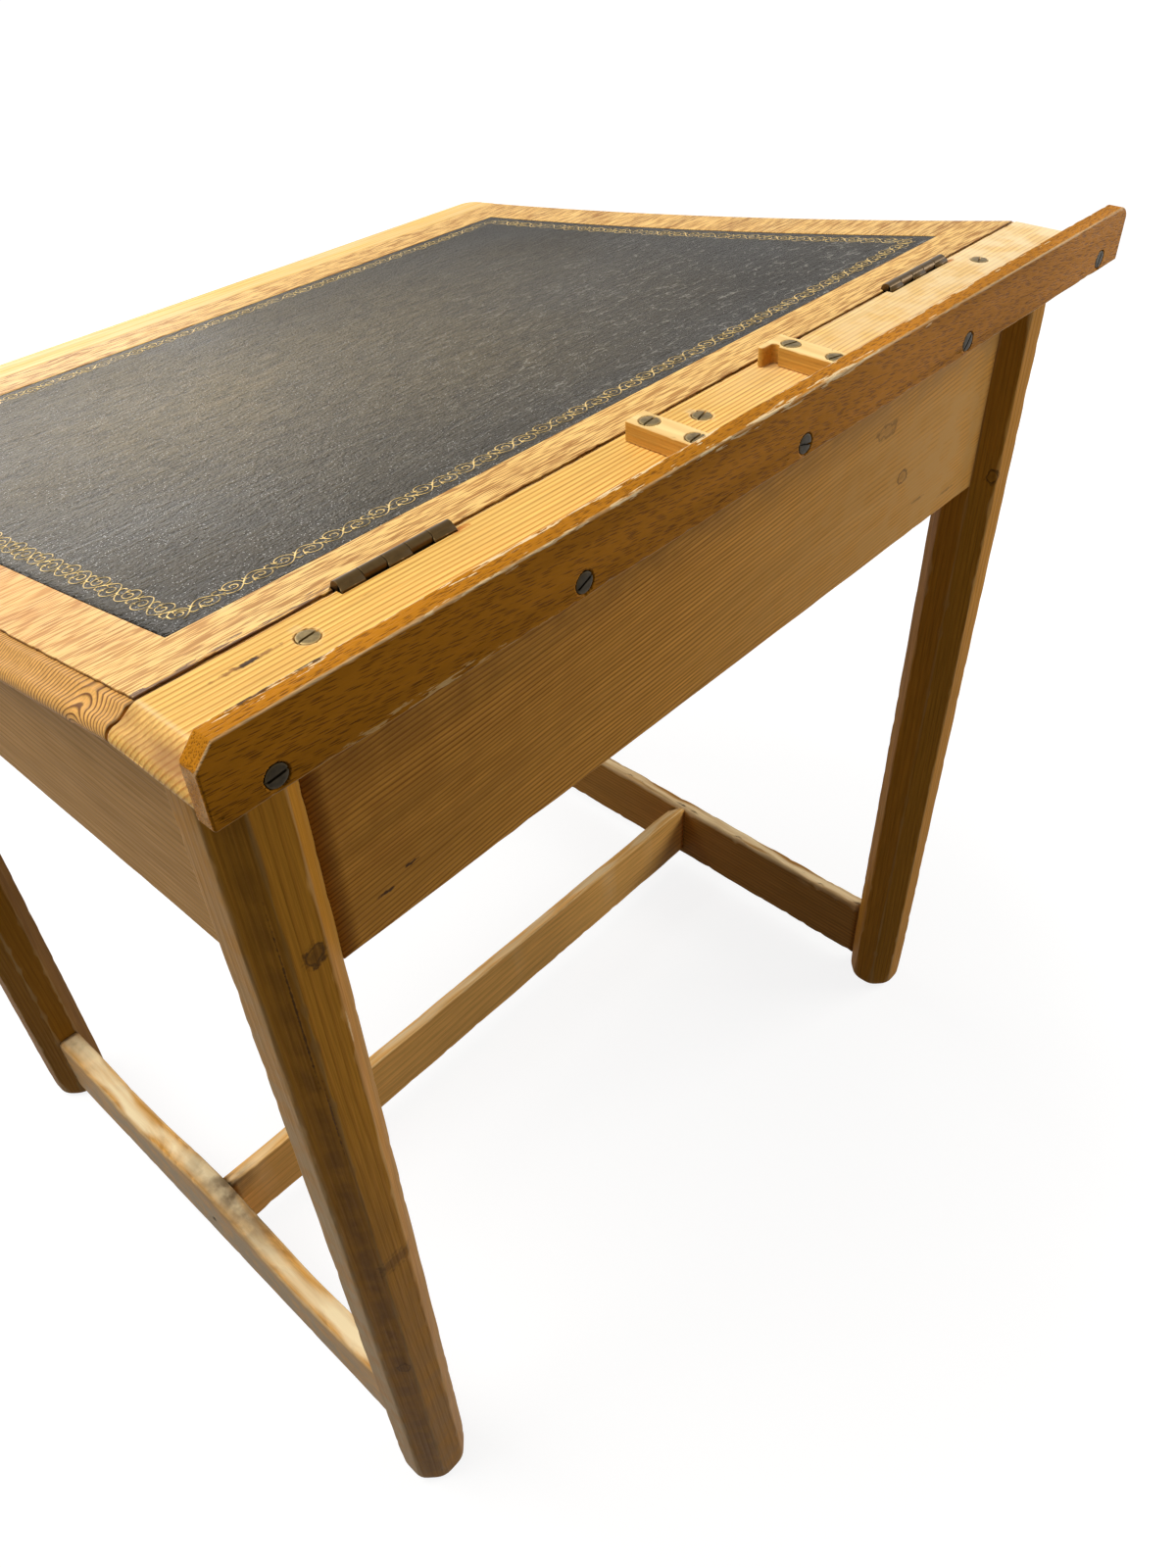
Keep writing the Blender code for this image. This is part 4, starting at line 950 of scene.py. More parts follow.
def lid_board_skin(desk, seed):
    """Moulded board under the veneer, bent to the lid's hollow, with room for the hinges."""
    x = stations(RAIL[0, 0], RAIL[1, 0], 0.006, marks=moulded_marks(desk))
    upper, lower = ogee(np.abs(x) - ARRIS, desk.ogee_step)
    shares = inner(60)
    loop = round_loop((shares, inner(4), shares, inner(12)))
    ease = np.minimum(worn(x, loop, 0.6 * desk.ease, seed), LID_EASE)
    upper = np.maximum(upper, VENEER_THICK + FIT)
    points, wear = bar(0, x, columns(BOARD[0, 1], -lower), columns(LID_REAR, -upper), ease, loop)
    return let_in(bent(points, desk), -1), wear


def plan_corners(high, low):
    """Corners of a rectangle in plan, from its high one round by the rear and the sitter's left."""
    return np.array([(high[0], high[1]), (low[0], high[1]), (low[0], low[1]), (high[0], low[1])])


def veneer_skin(desk, seed):
    """Sheet carried round the leather like a picture frame: each station spans from the outer rectangle to
    the inner one, and dents bite into the outer edge.
    """
    outer = plan_corners((ARRIS, LID_REAR), (-ARRIS, BOARD[0, 1]))
    hole = plan_corners(LEATHER[1, :2] + FIT, LEATHER[0, :2] - FIT)
    share = [stations(0, 1, 1 / n)[:-1] for n in (300, 110, 90, 220)]
    recess = (hinge_marks() / -ARRIS + 1) / 2
    share[0] = np.unique(np.concatenate([share[0], recess]))
    side = np.repeat(np.arange(4), [len(s) for s in share])
    share = np.concatenate(share)[:, None]
    outside = outer[side] + (np.roll(outer, -1, 0) - outer)[side] * share
    inside = hole[side] + (np.roll(hole, -1, 0) - hole)[side] * share
    along = np.where(side % 2 == 0, outside[:, 0], outside[:, 1])
    bite = VENEER_BITE * chips(along, 0.03, 0.5, seed) + VENEER_BITE * chips(along, 0.004, 0.4, seed + 1)
    bite = np.where((side == 0) | (side == 3), bite, 0.15 * bite)
    toward = inside - outside
    outside = outside + toward * (bite / np.hypot(*toward.T))[:, None]
    toward = inside - outside
    across = np.array([0, 0, 0.004, 0.014, 0.1, 0.3, 0.5, 0.7, 0.9, 0.992, 1, 1, 0.5])
    depth = np.array([1, 0.4, 0.1, 0, 0, 0, 0, 0, 0, 0, 0.2, 1, 1]) * VENEER_THICK
    plan = outside[:, None] + toward[:, None] * across[:, None]
    points = columns(plan[..., 0], plan[..., 1], -depth)
    wear = np.where(across < 0.005, 1.0, 0.0) * np.ones((len(along), 1))
    return let_in(bent(points, desk), -1), wear


def nosing_skin(desk):
    """Plan of the front strip with two rounded corners, drawn once for each point of its moulding."""
    out = ogee_places(desk.ogee_step)
    upper, lower = ogee(out, desk.ogee_step)
    out = np.concatenate([out, out[-2::-1]])
    keep = out >= OGEE_OUT - (THICK - desk.ogee_step) / 2
    depth = np.concatenate([upper, lower[-2::-1]])
    last = len(upper) + int(keep[len(upper):].sum())
    out, depth = out[:last], depth[:last]
    turn = np.linspace(0, np.pi / 2, 17)
    centre = np.concatenate([np.full(18, 1), np.full(18, -1)]) * (ARRIS - NOSING_CORNER)
    dx = np.concatenate([[1], np.cos(turn), np.cos(turn + np.pi / 2), [-1]])
    dy = np.concatenate([[0], np.sin(turn), np.sin(turn + np.pi / 2), [0]])
    radius = (NOSING_CORNER + out)[:, None]
    y = FRONT_ARRIS + NOSING_CORNER - radius * dy
    y[:, [0, -1]] = NOSING[1, 1]
    slope = (lid_top(NOSING[1, 1], desk) - lid_top(FRONT_ARRIS, desk)) / (NOSING[1, 1] - FRONT_ARRIS)
    z = lid_top(FRONT_ARRIS, desk) + slope * (y - FRONT_ARRIS) - depth[:, None]
    wear = np.where((out < 0.001) & (depth < 0.001), 0.8, 0.0)
    return columns(centre + radius * dx, y, z), wear[:, None]


def leather_skin(desk, seed):
    """Glued sheet with a faint roll of its face: two wanders, one along each side, added up."""
    low, high = LEATHER
    x = stations(low[0], high[0], 0.004)
    shares = inner(110)
    loop = round_loop((shares, (), inner(40), ()), 2)
    ease = np.full((len(x), len(loop[0])), HIDE_EASE)
    points, wear = bar(0, x, [(low[1], -VENEER_THICK)], [(high[1], -LEATHER_SUNK)], ease, loop)
    roll = drift(points[..., 0], 0.07, seed) + drift(points[..., 1], 0.05, seed + 1)
    points[..., 2] += HIDE_ROLL * (loop[1][:, 1] > FLAT) * roll
    return bent(points, desk), 0 * wear


def scroll_strokes():
    """Strokes of half a wave of the border in shares of its pitch, each drawn by 13 points.

    The stem is half a cosine wave. A branch leaves its middle and winds back over the trough in a spiral,
    with leaves where it parts and buds in its eye and beside the stem.
    """
    t = np.linspace(0, 1, 13)

    def spiral(x, y, start, turn, wide, narrow):
        """Arc about a point from an angle on by a turn in degrees, its radius changing evenly."""
        angle = np.radians(start + turn * t)
        radius = wide + (narrow - wide) * t
        return np.stack([x + radius * np.cos(angle), y + radius * np.sin(angle)], 1)

    def leaf(x0, y0, x1, y1, bow):
        """Line between two points, bowed to one side by half a sine wave."""
        line = np.array([x0, y0]) + np.outer(t, (x1 - x0, y1 - y0))
        return line + np.outer(bow * np.sin(np.pi * t), (y0 - y1, x1 - x0))

    return np.array(
        [
            np.stack([t, -0.38 * np.cos(np.pi * t)], 1),
            spiral(0.10, 0.10, -25, 265, 0.40, 0.27),
            spiral(0.10, 0.06, 240, 300, 0.22, 0.08),
            leaf(0.45, -0.04, 0.60, 0.30, -0.2),
            leaf(0.45, -0.04, 0.76, 0.06, 0.25),
            leaf(0.40, -0.12, 0.64, -0.28, -0.3),
            leaf(0.74, -0.32, 0.92, -0.20, 0.5),
        ]
    )


def border_skins(desk):
    """Every stroke of the gilt border as a low three-sided ridge.

    The scroll is repeated along the four sides of a rectangle, every second one turned over; a stroke's
    width swells from its ends to its middle.
    """
    low = LEATHER[0, :2] + desk.border_inset
    high = LEATHER[1, :2] - desk.border_inset
    starts = plan_corners(high, low)
    runs = np.roll(starts, -1, 0) - starts
    strokes = scroll_strokes()
    drawn = []
    for start, run in zip(starts, runs):
        distance = np.hypot(*run)
        along = run / distance
        inward = np.array([-along[1], along[0]])
        count = int(round(distance / desk.border_pitch))
        pitch = distance / count
        number = np.arange(count)[:, None, None]
        s = (number + strokes[None, ..., 0]) * pitch
        h = strokes[None, ..., 1] * pitch * np.where(number % 2, -1, 1)
        laid = start + s[..., None] * along + h[..., None] * inward
        drawn.append(laid.reshape(-1, strokes.shape[1], 2))
    path = np.concatenate(drawn)
    ahead = np.gradient(path, axis=1)
    beside = np.stack([-ahead[..., 1], ahead[..., 0]], -1)
    beside = beside / np.hypot(ahead[..., 0], ahead[..., 1])[..., None]
    swell = 0.55 + 0.45 * np.sin(np.pi * np.linspace(0, 1, path.shape[1]))
    half = desk.border_stroke / 2 * swell[:, None]
    plan = path[:, :, None] + (beside * half)[:, :, None] * np.array([-1, 0, 1])[:, None]
    ridge = np.array([-RIDGE_FOOT, RIDGE, -RIDGE_FOOT]) - LEATHER_SUNK + HIDE_ROLL
    points = columns(plan[..., 0], plan[..., 1], ridge)
    return [(skin, np.zeros(skin.shape[:2])) for skin in bent(points, desk)]


def turned_skin(x, radius):
    """Profile turned about the hinge's axis: radius against place along it."""
    angle = np.linspace(0, 2 * np.pi, 29)[:-1]
    radius = radius[:, None]
    return columns(x[:, None], AXIS_Y + radius * np.cos(angle), AXIS_Z + radius * np.sin(angle))


def leaf_skins(node):
    """Knuckles of one leaf, each with rounded ends, and its plate, which is cut away at the other leaf's.
    The rail's knuckles have a side that falls straight from the barrel to the rail.
    """
    on_rail = "rail" in node
    toward = 1 if on_rail else -1
    pitch = HINGE_LENGTH / KNUCKLES
    first = corners(node.split("_leaf")[0].rsplit("_", 1)[0] + "_pin")[0, 0]
    own = np.arange(0 if on_rail else 1, KNUCKLES, 2)
    arc = LEAF_EASE * (1 - np.cos(np.linspace(0, np.pi / 2, 5)))
    run = np.concatenate([arc, (pitch - FIT) - arc[::-1]])
    inset = drawn_in(run, 0, pitch - FIT, (LEAF_EASE, LEAF_EASE))
    skins = []
    for knuckle in own:
        points = turned_skin(first + knuckle * pitch + FIT / 2 + run, BARREL - inset)
        skins.append((points, np.where(inset > LEAF_EASE / 2, 0.8, 0.1)[:, None] * np.ones(28)))
    edges = first + pitch * np.arange(KNUCKLES + 1)
    x = np.sort(np.concatenate([edges - 2 * HAIR, edges + 2 * HAIR]))[1:-1]
    inside = np.isin(np.floor((x - first) / pitch), own)
    top = np.where(inside, AXIS_Z - 0.2 * BARREL, AXIS_Z - BARREL - FIT)
    near, far = sorted((AXIS_Y + toward * LEAF_SPLIT, AXIS_Y + toward * (LEAF_SPLIT + LEAF)))
    loop = round_loop()
    ease = np.full((len(x), len(loop[0])), LEAF_EASE)
    skins.append(bar(0, x, [(near, corners(node)[0, 2])], columns(far, top), ease, loop))
    if on_rail:
        ease = np.full((2, len(loop[0])), PAD_EASE)
        shelf = AXIS_Y + BARREL / 2, AXIS_Z - BARREL
        edge = AXIS_Y + BARREL + KNUCKLE_SLOT, AXIS_Z + PAD_RISE
        for knuckle in own:
            x = first + (knuckle + np.array([0, 1])) * pitch + (FIT / 2, -FIT / 2)
            pad, rubbed = bar(0, x, [shelf], [edge], ease, loop)
            pad[..., 2] -= np.where(pad[..., 2] > AXIS_Z, PAD_FALL * (pad[..., 1] - shelf[0]), 0)
            skins.append((pad, rubbed))
    return skins


def head_skin(place, turn, axis):
    """Slotted head as rows across its slot: each row spans the disc, and the rows inside the slot sink. It
    faces along an axis.
    """
    half = SLOT_WIDTH / 2
    outer = np.sin(np.linspace(-np.pi / 2, -0.13, 12)) * HEAD
    v = np.concatenate([outer, [-half, -half + TINY, 0, half - TINY, half], -outer[::-1]])
    sunk = np.where(np.abs(v) < half - TINY / 2, -SLOT_DEPTH, 0)
    u = np.sin(np.linspace(-np.pi / 2, np.pi / 2, 19))
    reach = np.sqrt(np.maximum(HEAD**2 - v**2, 1e-10))
    x = u * reach[:, None]
    share = np.clip(np.hypot(x, v[:, None]) / HEAD, 0, 1)
    dome = HEAD_RISE * (1 - share**6)
    x = np.concatenate([x, x[:, ::-1]], 1)
    up = np.concatenate([dome + sunk[:, None], np.full_like(dome, -HEAD_DEPTH)], 1)
    cos, sin = np.cos(turn), np.sin(turn)
    a = cos * x - sin * v[:, None]
    b = sin * x + cos * v[:, None]
    rim = np.clip((share - RIM) / (1 - RIM), 0, 1)
    head = columns(a, up, -b) if axis == 1 else columns(a, b, up)
    return head + place, np.concatenate([rim, 0 * rim], 1)


# Operators, one for each group of like pieces
SEED = {  # first random seed of each kind of piece
    "leg": 10, "panel": 20, "side": 24, "stretcher": 30, "cross": 33, "rail": 40, "lip": 43, "block": 46,
    "lid": 50, "veneer": 53, "leather": 60,
}
RING = {  # width of a growth ring in metres: those of real pine are 1 to 7 mm wide
    "leg": 0.0034, "panel": 0.0027, "side": 0.0036, "stretcher": 0.004, "cross": 0.0065, "rail": 0.0024,
    "block": 0.0035, "lid": 0.0019, "strip": 0.003,
}
SIDES = ("right", "left")


def chosen(context):
    """The sizes and the colours that the panel shows."""
    return context.scene.desk_sizes, context.scene.desk_colours


def cover(node, skins, material, body, closed=False):
    """A piece in place of one CAD node, named for it."""
    piece(f"{node}_skin", skins, material, body, [node], closed)


def nodes_with(stem):
    """Names of the CAD nodes that start with a stem, in the frame's order."""
    return [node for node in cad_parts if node.startswith(stem)]


class DESK_OT_legs(bpy.types.Operator):
    """Four chamfered legs with rounded feet"""

    bl_idname = "desk.legs"
    bl_label = "Legs"

    def execute(self, context):
        desk, tints = chosen(context)
        face = LEG_RIGHT[1, 1]
        marks = {
            "leg_rear_right": [
                ((0.2772, face, 0.543), (0.0070, 0.004, 0.0070), KNOT, 0.5, "stain"),
                ((0.2772, face, 0.543), (0.0062, 0.004, 0.0075), KNOT, 0.85, "knot"),
                ((0.279, face, 0.301), (0.016, 0.006, 0.0085), KNOT, 0.45, "stain"),
                ((0.2915, 0.2445, 0.184), (0.005, 0.005, 0.008), KNOT, 0.6, "knot"),
                ((0.2903, 0.2458, 0.515), (0.0006, 0.0006, 0.06), KNOT, 0.8, "stain"),
                ((0.2890, 0.2470, 0.44), (0.0005, 0.0005, 0.035), KNOT, 0.7, "stain"),
                ((0.2705, face, 0.49), (0.0008, 0.003, 0.012), tints.bare, 0.5, "stain"),
            ],
            "leg_rear_left": [((-0.2685, 0.2465, 0.52), (0.0055, 0.006, 0.0075), KNOT, 0.85, "knot")],
        }
        grey_and_painted_shade = [
            ((0.28, face, 0.0), (0.1, 0.1, 0.42), linear("#8F6E48"), 0.6),
            ((0.302, face - 0.02, 0.25), (0.0045, 0.1, 0.6), linear("#AA8E66"), 1.4),
            # Painted shade: the chamfer between the +X face and the rear face of the rear right leg is
            # darkened.
            ((0.2915, face - 0.006, 0.3), (0.0085, 0.0085, 0.6), linear("#66400E"), 0.75),
            ((0.257, face - 0.008, 0.3), (0.009, 0.03, 0.6), linear("#B08440"), 1.0),
        ]
        for i, node in enumerate(nodes_with("leg_")):
            low, high = corners(node)
            pith = (low[0] - 0.02, high[1] + 0.03, 0.0)
            # Front legs are painted darker as painted shade, for the shade under the desk.
            painted_shade = 0.52 if "front" in node else 1.0
            wood = pine(
                f"pine of {node}", shaded(tints.leg_early, painted_shade), shaded(tints.leg_late, painted_shade),
                tints.bare, "Z", pith, RING["leg"], contrast=0.35, rub=0.2, gloss=0.06,
                marks=marks.get(node, ()), tilt=(0.0, 0.02, 0.0), patina_and_painted_light=grey_and_painted_shade,
            )
            cover(node, [leg_skin(node, desk, SEED["leg"] + i)], wood, "desk")
        return {"FINISHED"}


class DESK_OT_panels(bpy.types.Operator):
    """Panels between the legs, and the unseen floor and cleats"""

    bl_idname = "desk.panels"
    bl_label = "Panels"

    def execute(self, context):
        desk, tints = chosen(context)
        face = corners("rear_panel")[1, 1]
        marks = [
            ((0.2176, face, 0.5396), (0.0045, 0.003, 0.0011), KNOT, 0.95, "stain"),
            ((0.2322, face, 0.5336), (0.0055, 0.003, 0.0013), KNOT, 0.95, "stain"),
            ((-0.1386, face, 0.5976), (0.013, 0.004, 0.0055), KNOT, 0.55, "knot"),
            ((-0.164, face, 0.5596), (0.0075, 0.004, 0.005), KNOT, 0.8, "knot"),
            ((-0.1874, face, 0.5351), (0.009, 0.003, 0.0011), KNOT, 0.5, "stain"),
            ((-0.2251, face, 0.5258), (0.010, 0.003, 0.0011), KNOT, 0.45, "stain"),
        ]
        painted_light_and_tone = [
            # Painted light and painted shade: paler toward the -X end and darker toward the +X end, as
            # light falls across the panel, and a painted shadow under the lip.
            ((RAIL[0, 0], face, 0.56), (0.36, 0.1, 0.16), linear("#C9964F"), 1.1),
            ((LEG_RIGHT[0, 0], face, 0.60), (0.26, 0.1, 0.16), linear("#8A520C"), 0.4),
            ((0.0, face, LIP[0, 2]), (1.0, 0.1, 0.056), linear("#5A3A12"), 0.9),
        ]
        wood = pine(
            "pine of the rear panel", tints.pine_early, tints.pine_late, tints.bare, "X",
            (0.30, 0.262, 0.675), RING["panel"], rub=0.3, gloss=0.09, marks=marks, tilt=(0.0, 0.07, 0.0),
            patina_and_painted_light=painted_light_and_tone, stray=0.026,
        )
        side = pine(
            "pine of the sides", tints.side_early, tints.side_late, tints.bare, "Y", (0.33, 0.0, 0.64),
            RING["side"], contrast=0.5, rub=0.3, gloss=0.07,
        )
        for i, node in enumerate(("rear_panel", "front_panel")):
            cover(node, [rear_panel_skin(node, desk, SEED["panel"] + i)], wood, "desk")
        for i, node in enumerate(("side_panel_right", "side_panel_left")):
            cover(node, [side_panel_skin(node, desk, SEED["side"] + i)], side, "desk")
        paint(wood, "bottom_board", "cleat_front", "cleat_rear")
        paint(side, "cleat_right", "cleat_left")
        return {"FINISHED"}


class DESK_OT_stretchers(bpy.types.Operator):
    """H stretcher, trodden pale along its top edges"""

    bl_idname = "desk.stretchers"
    bl_label = "Stretchers"

    def execute(self, context):
        desk, tints = chosen(context)
        trodden, soot = linear("#FFE8B8"), linear("#756044")
        x, y, z = LEG_RIGHT[0, 0] + 0.012, CROSS.mean(0)[1], CROSS[1, 2]
        dirt = [
            ((x, y + 0.018, z), (0.03, 0.075, 0.03), soot, 1.0),
            ((x, LEG_FRONT[1, 1] + 0.008, z), (0.03, 0.03, 0.03), soot, 0.8),
            ((x, LEG_RIGHT[0, 1] - 0.004, z), (0.03, 0.022, 0.03), soot, 0.7),
            ((corners("stretcher_right")[1, 0], y, 0.04), (0.003, 0.4, 0.06), linear("#A88E6A"), 1.3),
        ]
        tones = {
            "stretcher_right": (tints.stretcher_early, tints.stretcher_late, trodden),
            # The left stretcher's darker tones are painted shade, for the shade that its inner face lies
            # in.
            "stretcher_left": (linear("#B8823A"), linear("#8A5C22"), linear("#FFE2AE")),
        }
        for i, (node, tone) in enumerate(tones.items()):
            pith = (corners(node).mean(0)[0], 0.0, -0.03)
            wood = pine(
                f"pine of {node}", *tone, "Y", pith, RING["stretcher"], contrast=0.6, rub=1.0, gloss=0.07,
                patina_and_painted_light=dirt,
            )
            cover(node, [side_stretcher_skin(node, desk, SEED["stretcher"] + i)], wood, "desk")
        wood = pine(
            "pine of cross_stretcher", linear("#F8BC66"), linear("#BC7C32"), trodden, "X",
            (0.0, CROSS[0, 1] - 0.02, -0.04), RING["cross"], contrast=0.4, rub=0.9, gloss=0.07, patina_and_painted_light=dirt,
            stray=0.03,
        )
        cover("cross_stretcher", [cross_stretcher_skin(desk, SEED["cross"])], wood, "desk")
        nail = old_metal("nail steel", tints.black_steel, 0.5)
        paint(nail, *(f"stretcher_nail_{side}" for side in SIDES))
        return {"FINISHED"}


class DESK_OT_rail(bpy.types.Operator):
    """Hinge rail, its rear lip and the two blocks"""

    bl_idname = "desk.rail"
    bl_label = "Rail, lip and blocks"

    def execute(self, context):
        desk, tints = chosen(context)
        crack = [
            ((0.2603, 0.2261, TOP), (0.016, 0.0016, 0.002), linear("#8A5A28"), 0.8, "stain"),
            ((0.2610, 0.2261, TOP), (0.0060, 0.0012, 0.002), linear("#2E1E10"), 0.95, "stain"),
        ]
        for end in hinge_middles() - HINGE_LENGTH / 2 - 0.001:
            place = (end, AXIS_Y + BARREL + 0.001, TOP)
            crack.append((place, (0.006, 0.0018, 0.002), linear("#B4651C"), 0.85, "stain"))
        end = (RAIL[1, 0] - 0.005, RAIL.mean(0)[1], TOP - 0.004)
        painted_light_and_tone = [
            # The first patch is a painted sheen that makes the -X end of the rail paler. The second darkens
            # the end grain of the +X moulded end.
            ((RAIL[0, 0], RAIL[1, 1], TOP), (0.36, 0.2, 0.2), linear("#FFE9BC"), 0.75),
            (end, (0.0095, 0.08, 0.02), linear("#8E5E2C"), 0.8),
        ]
        wood = pine(
            "pine of the rail", tints.top_early, tints.top_late, tints.bare, "X", (0, 0.335, 0.59),
            RING["rail"], rub=0.8, gloss=0.2, marks=crack, patina_and_painted_light=painted_light_and_tone,
        )
        cover("hinge_rail", [rail_skin(desk, SEED["rail"])], wood, "desk")
        inner, outer, under, top = LIP[0, 1], LIP[1, 1], LIP[0, 2], LIP[1, 2]
        bare, cream, dark = tints.bare, linear("#E9C080"), linear("#4A3018")
        chipped = [
            ((0.2313, outer, under), (0.028, 0.004, 0.0034), cream, 0.65, "strip"),
            ((0.1950, outer, under), (0.024, 0.004, 0.0022), cream, 0.5, "strip"),
            ((0.2700, inner, top), (0.030, 0.0030, 0.004), bare, 0.9, "strip"),
            ((0.2630, inner + 0.0008, top), (0.009, 0.0018, 0.003), dark, 0.95, "stain"),
            ((0.2830, inner + 0.0008, top), (0.010, 0.0018, 0.003), dark, 0.95, "stain"),
            ((0.1300, inner, top), (0.110, 0.0024, 0.003), bare, 0.85, "strip"),
            ((0.0100, outer, top - 0.001), (0.075, 0.0020, 0.0020), bare, 0.75, "strip"),
            ((0.1400, outer, top), (0.080, 0.0013, 0.0013), bare, 0.6, "strip"),
            ((-0.1500, inner, top - 0.001), (0.085, 0.0022, 0.003), bare, 0.7, "strip"),
        ]
        cover("rear_lip", [lip_skin(desk, SEED["lip"])], beech(tints, chipped), "desk")
        for i, side in enumerate(SIDES):
            node = f"stop_block_{side}"
            block = pine(
                f"pine of the {side} block", linear("#D09A44"), linear("#B48234"), linear("#FFDC98"), "Y",
                (corners(node).mean(0)[0], 0.0, 0.62), RING["block"], contrast=0.4, rub=1.0,
            )
            cover(node, [block_skin(side, desk, SEED["block"] + i)], block, "desk")
        return {"FINISHED"}


class DESK_OT_lid(bpy.types.Operator):
    """Lid board, its veneer and the moulded front strip"""

    bl_idname = "desk.lid"
    bl_label = "Lid"

    def execute(self, context):
        desk, tints = chosen(context)
        pith = (0.0, LID_REAR - 0.022, TOP - THICK - 0.007)
        wood = pine(
            "pine of the lid", tints.lid_early, tints.lid_late, tints.bare, "X", pith, RING["lid"], rub=0.4
        )
        cover("lid_board", [lid_board_skin(desk, SEED["lid"])], wood, "lid")
        veneer = oak_veneer(tints)
        cover("lid_veneer", [veneer_skin(desk, SEED["veneer"])], veneer, "lid", True)
        strip = pine(
            "pine of the front strip", tints.top_early, tints.top_late, tints.bare, "X", (0, -0.30, 0.50),
            RING["strip"], contrast=0.6, rub=0.6,
        )
        cover("lid_nosing", [nosing_skin(desk)], strip, "lid")
        return {"FINISHED"}


class DESK_OT_leather(bpy.types.Operator):
    """Leather writing panel and its gilt border"""

    bl_idname = "desk.leather"
    bl_label = "Leather and gilding"

    def execute(self, context):
        desk, tints = chosen(context)
        sheet = [leather_skin(desk, SEED["leather"])]
        piece("leather_skin", sheet, leather(tints), "lid", ["leather_panel"])
        piece("gilt_border", border_skins(desk), gilding(tints), "lid")
        return {"FINISHED"}


class DESK_OT_hinges(bpy.types.Operator):
    """Butt hinges with turned knuckles"""

    bl_idname = "desk.hinges"
    bl_label = "Hinges"

    def execute(self, context):
        tints = chosen(context)[1]
        # Below the axis the barrels are painted black: grime, and painted shade in the slots.
        metal = old_metal("bronzed steel", tints.bronze, 0.34, 0.3, AXIS_Z - 0.0004)
        for side in SIDES:
            for leaf, body in (("rail", "desk"), ("lid", "lid")):
                node = f"hinge_{side}_{leaf}_leaf"
                cover(node, leaf_skins(node), metal, body)
        paint(metal, *(node for node in nodes_with("hinge_") if "pin" in node or "screw" in node))
        return {"FINISHED"}


class DESK_OT_screws(bpy.types.Operator):
    """Slotted screw heads of lip, rail and blocks"""

    bl_idname = "desk.screws"
    bl_label = "Screws"

    def execute(self, context):
        tints = chosen(context)[1]
        black = old_metal("blackened steel", tints.black_steel, 0.45), "bronzed_steel"
        brass = old_metal("dull brass", tints.brass, 0.4), "dull_brass"
        block_top = corners("stop_block_right")[1, 2]
        kinds = {  # axis that the heads face, the face's place on it, the metal and the slots' turns
            "lip_screw": (1, LIP[1, 1], black, (0.1, 0.4, -0.3, 0.9, 1.3)),
            "rail_screw": (2, TOP, brass, (0.1, 0.25, 0.35)),
            "block_screw": (2, block_top, brass, (-0.3, -0.3, 0.1, 0.1)),
        }
        for stem, (axis, face, (metal, slot), turns) in kinds.items():
            for node, turn in zip(sorted(nodes_with(stem)), turns):
                place = corners(node).mean(0)
                place[axis] = face - HEAD_RISE / 2
                piece(node + "_head", [head_skin(place, turn, axis)], metal, "desk", [node])
        return {"FINISHED"}


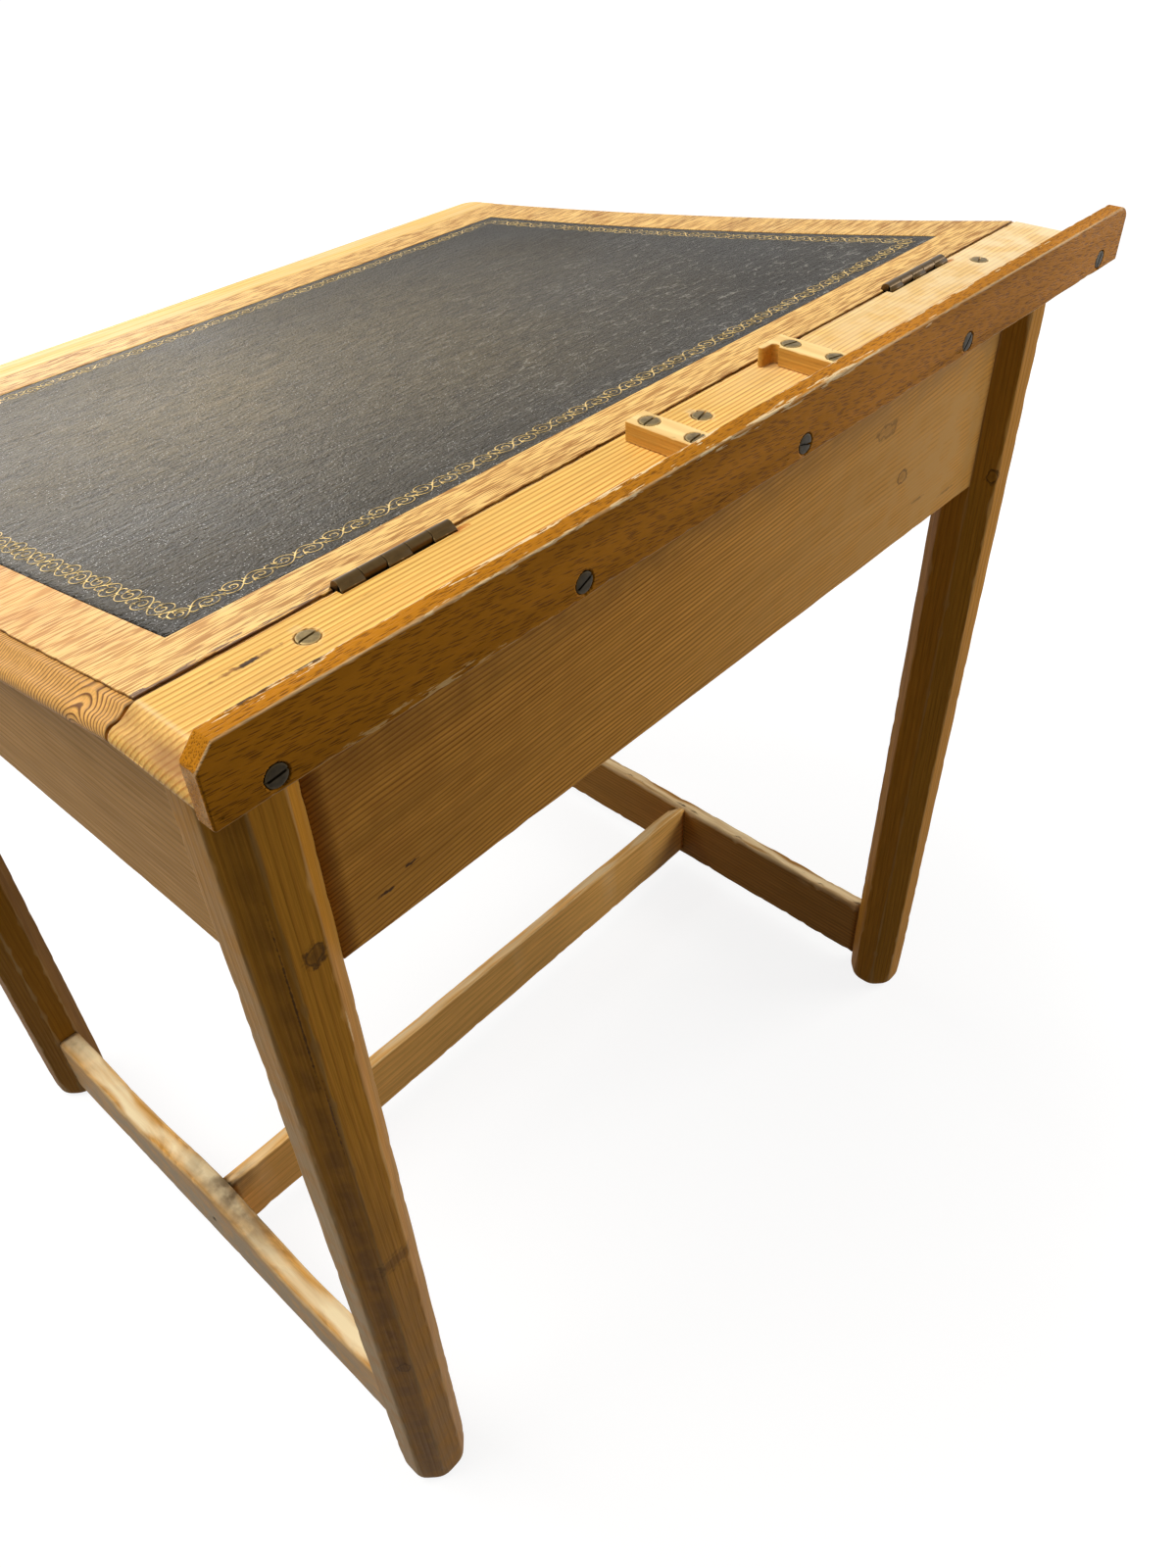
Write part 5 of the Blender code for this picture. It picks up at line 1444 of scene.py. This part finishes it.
class DESK_OT_stage(bpy.types.Operator):
    """White floor, soft lights and the camera of the photograph"""

    bl_idname = "desk.stage"
    bl_label = "Stage"

    def execute(self, context):
        scene = context.scene
        scene.view_settings.view_transform = "Standard"
        mesh = bpy.data.meshes.new("floor")
        reach = 12.0
        plan = [(-reach, -reach, 0), (reach, -reach, 0), (reach, reach, 0), (-reach, reach, 0)]
        mesh.from_pydata(plan, [], [(0, 1, 2, 3)])
        mesh.materials.append(self.paper())
        floor = bpy.data.objects.new("floor", mesh)
        scene.collection.objects.link(floor)
        lights = (  # name, place, what it aims at, width and power
            ("overhead", (0.8, -0.6, 2.3), (0.0, 0.0, 0.3), 1.8, 56.0),
            ("photo_right", (-1.3, 0.95, 0.9), (0.0, 0.2, 0.4), 0.8, 14.0),
            ("front", (-0.3, -2.1, 1.0), (0.1, 0.0, 0.6), 1.3, 13.0),
        )
        for name, place, aim, size, power in lights:
            lamp = bpy.data.lights.new(name, "AREA")
            lamp.size = size
            lamp.energy = power
            obj = bpy.data.objects.new(name, lamp)
            obj.location = place
            direction = np.array(aim) - np.array(place)
            flat = np.hypot(direction[0], direction[1])
            tip, swing = np.arctan2(flat, -direction[2]), np.arctan2(-direction[0], direction[1])
            obj.rotation_euler = (tip, 0, swing)
            scene.collection.objects.link(obj)
        self.sky(scene)
        camera = bpy.data.objects.new("camera", bpy.data.cameras.new("camera"))
        camera.location = (0.4237, 0.53625, 0.9012)
        camera.rotation_euler = np.radians((47.93256, 1.67098, 132.09395))
        camera.data.lens = 27.76
        camera.data.clip_start = 0.02
        scene.collection.objects.link(camera)
        scene.camera = camera
        return {"FINISHED"}

    def paper(self):
        """White studio paper: it takes the desk's soft shadow close by and is plain white farther off."""
        material, add, spot = finish_with(
            "studio paper", Roughness=0.9, Base_Color=linear("#7C7B79"), Specular_IOR_Level=0.1,
            Emission_Color=WHITE,
        )
        fade = add("range", add("length", spot), 0.5, 1.6, 0.86, 1.0)
        glow = add("multiply", fade, self.seen(add))
        shader = material.node_tree.nodes["Principled BSDF"]
        material.node_tree.links.new(glow, shader.inputs["Emission Strength"])
        return material

    def seen(self, add):
        """1 for rays of the camera and for those that metal and gloss send on, 0 for light."""
        direct, glossy, sent_on = (add(ray) for ray in RAYS)
        return add("maximum", add("maximum", direct, glossy), sent_on)

    def sky(self, scene):
        """White to the camera and in reflections, dimmer as a light."""
        world = bpy.data.worlds.new("studio")
        world.use_nodes = True
        tree = world.node_tree
        add = partial(add_node, tree)
        strength = add("range", self.seen(add), 0.0, 1.0, 0.1, 1.0)
        tree.nodes["Background"].inputs["Color"].default_value = WHITE
        tree.links.new(strength, tree.nodes["Background"].inputs["Strength"])
        scene.world = world


OPERATORS = (
    DESK_OT_legs,
    DESK_OT_panels,
    DESK_OT_stretchers,
    DESK_OT_rail,
    DESK_OT_lid,
    DESK_OT_leather,
    DESK_OT_hinges,
    DESK_OT_screws,
    DESK_OT_stage,
)


class DESK_PT_panel(bpy.types.Panel):
    """Lists the desk's pieces, sizes and colours"""

    bl_idname = "DESK_PT_panel"
    bl_label = "Writing Desk"
    bl_space_type = "VIEW_3D"
    bl_region_type = "UI"
    bl_category = "Desk"

    def draw(self, context):
        layout = self.layout
        for operator in OPERATORS:
            layout.operator(operator.bl_idname)
        for group in (context.scene.desk_sizes, context.scene.desk_colours):
            column = layout.column()
            for key in group.bl_rna.properties.keys():
                if key not in ("rna_type", "name"):
                    column.prop(group, key)


CLASSES = (DeskSizes, DeskColours, *OPERATORS, DESK_PT_panel)


def register():
    for cls in CLASSES:
        bpy.utils.register_class(cls)
    bpy.types.Scene.desk_sizes = bpy.props.PointerProperty(type=DeskSizes)
    bpy.types.Scene.desk_colours = bpy.props.PointerProperty(type=DeskColours)


def unregister():
    del bpy.types.Scene.desk_colours
    del bpy.types.Scene.desk_sizes
    for cls in reversed(CLASSES):
        bpy.utils.unregister_class(cls)


def main():
    register()
    bpy.ops.desk.legs()
    bpy.ops.desk.panels()
    bpy.ops.desk.stretchers()
    bpy.ops.desk.rail()
    bpy.ops.desk.lid()
    bpy.ops.desk.leather()
    bpy.ops.desk.hinges()
    bpy.ops.desk.screws()
    bpy.ops.desk.stage()


if __name__ == "__main__":
    main()
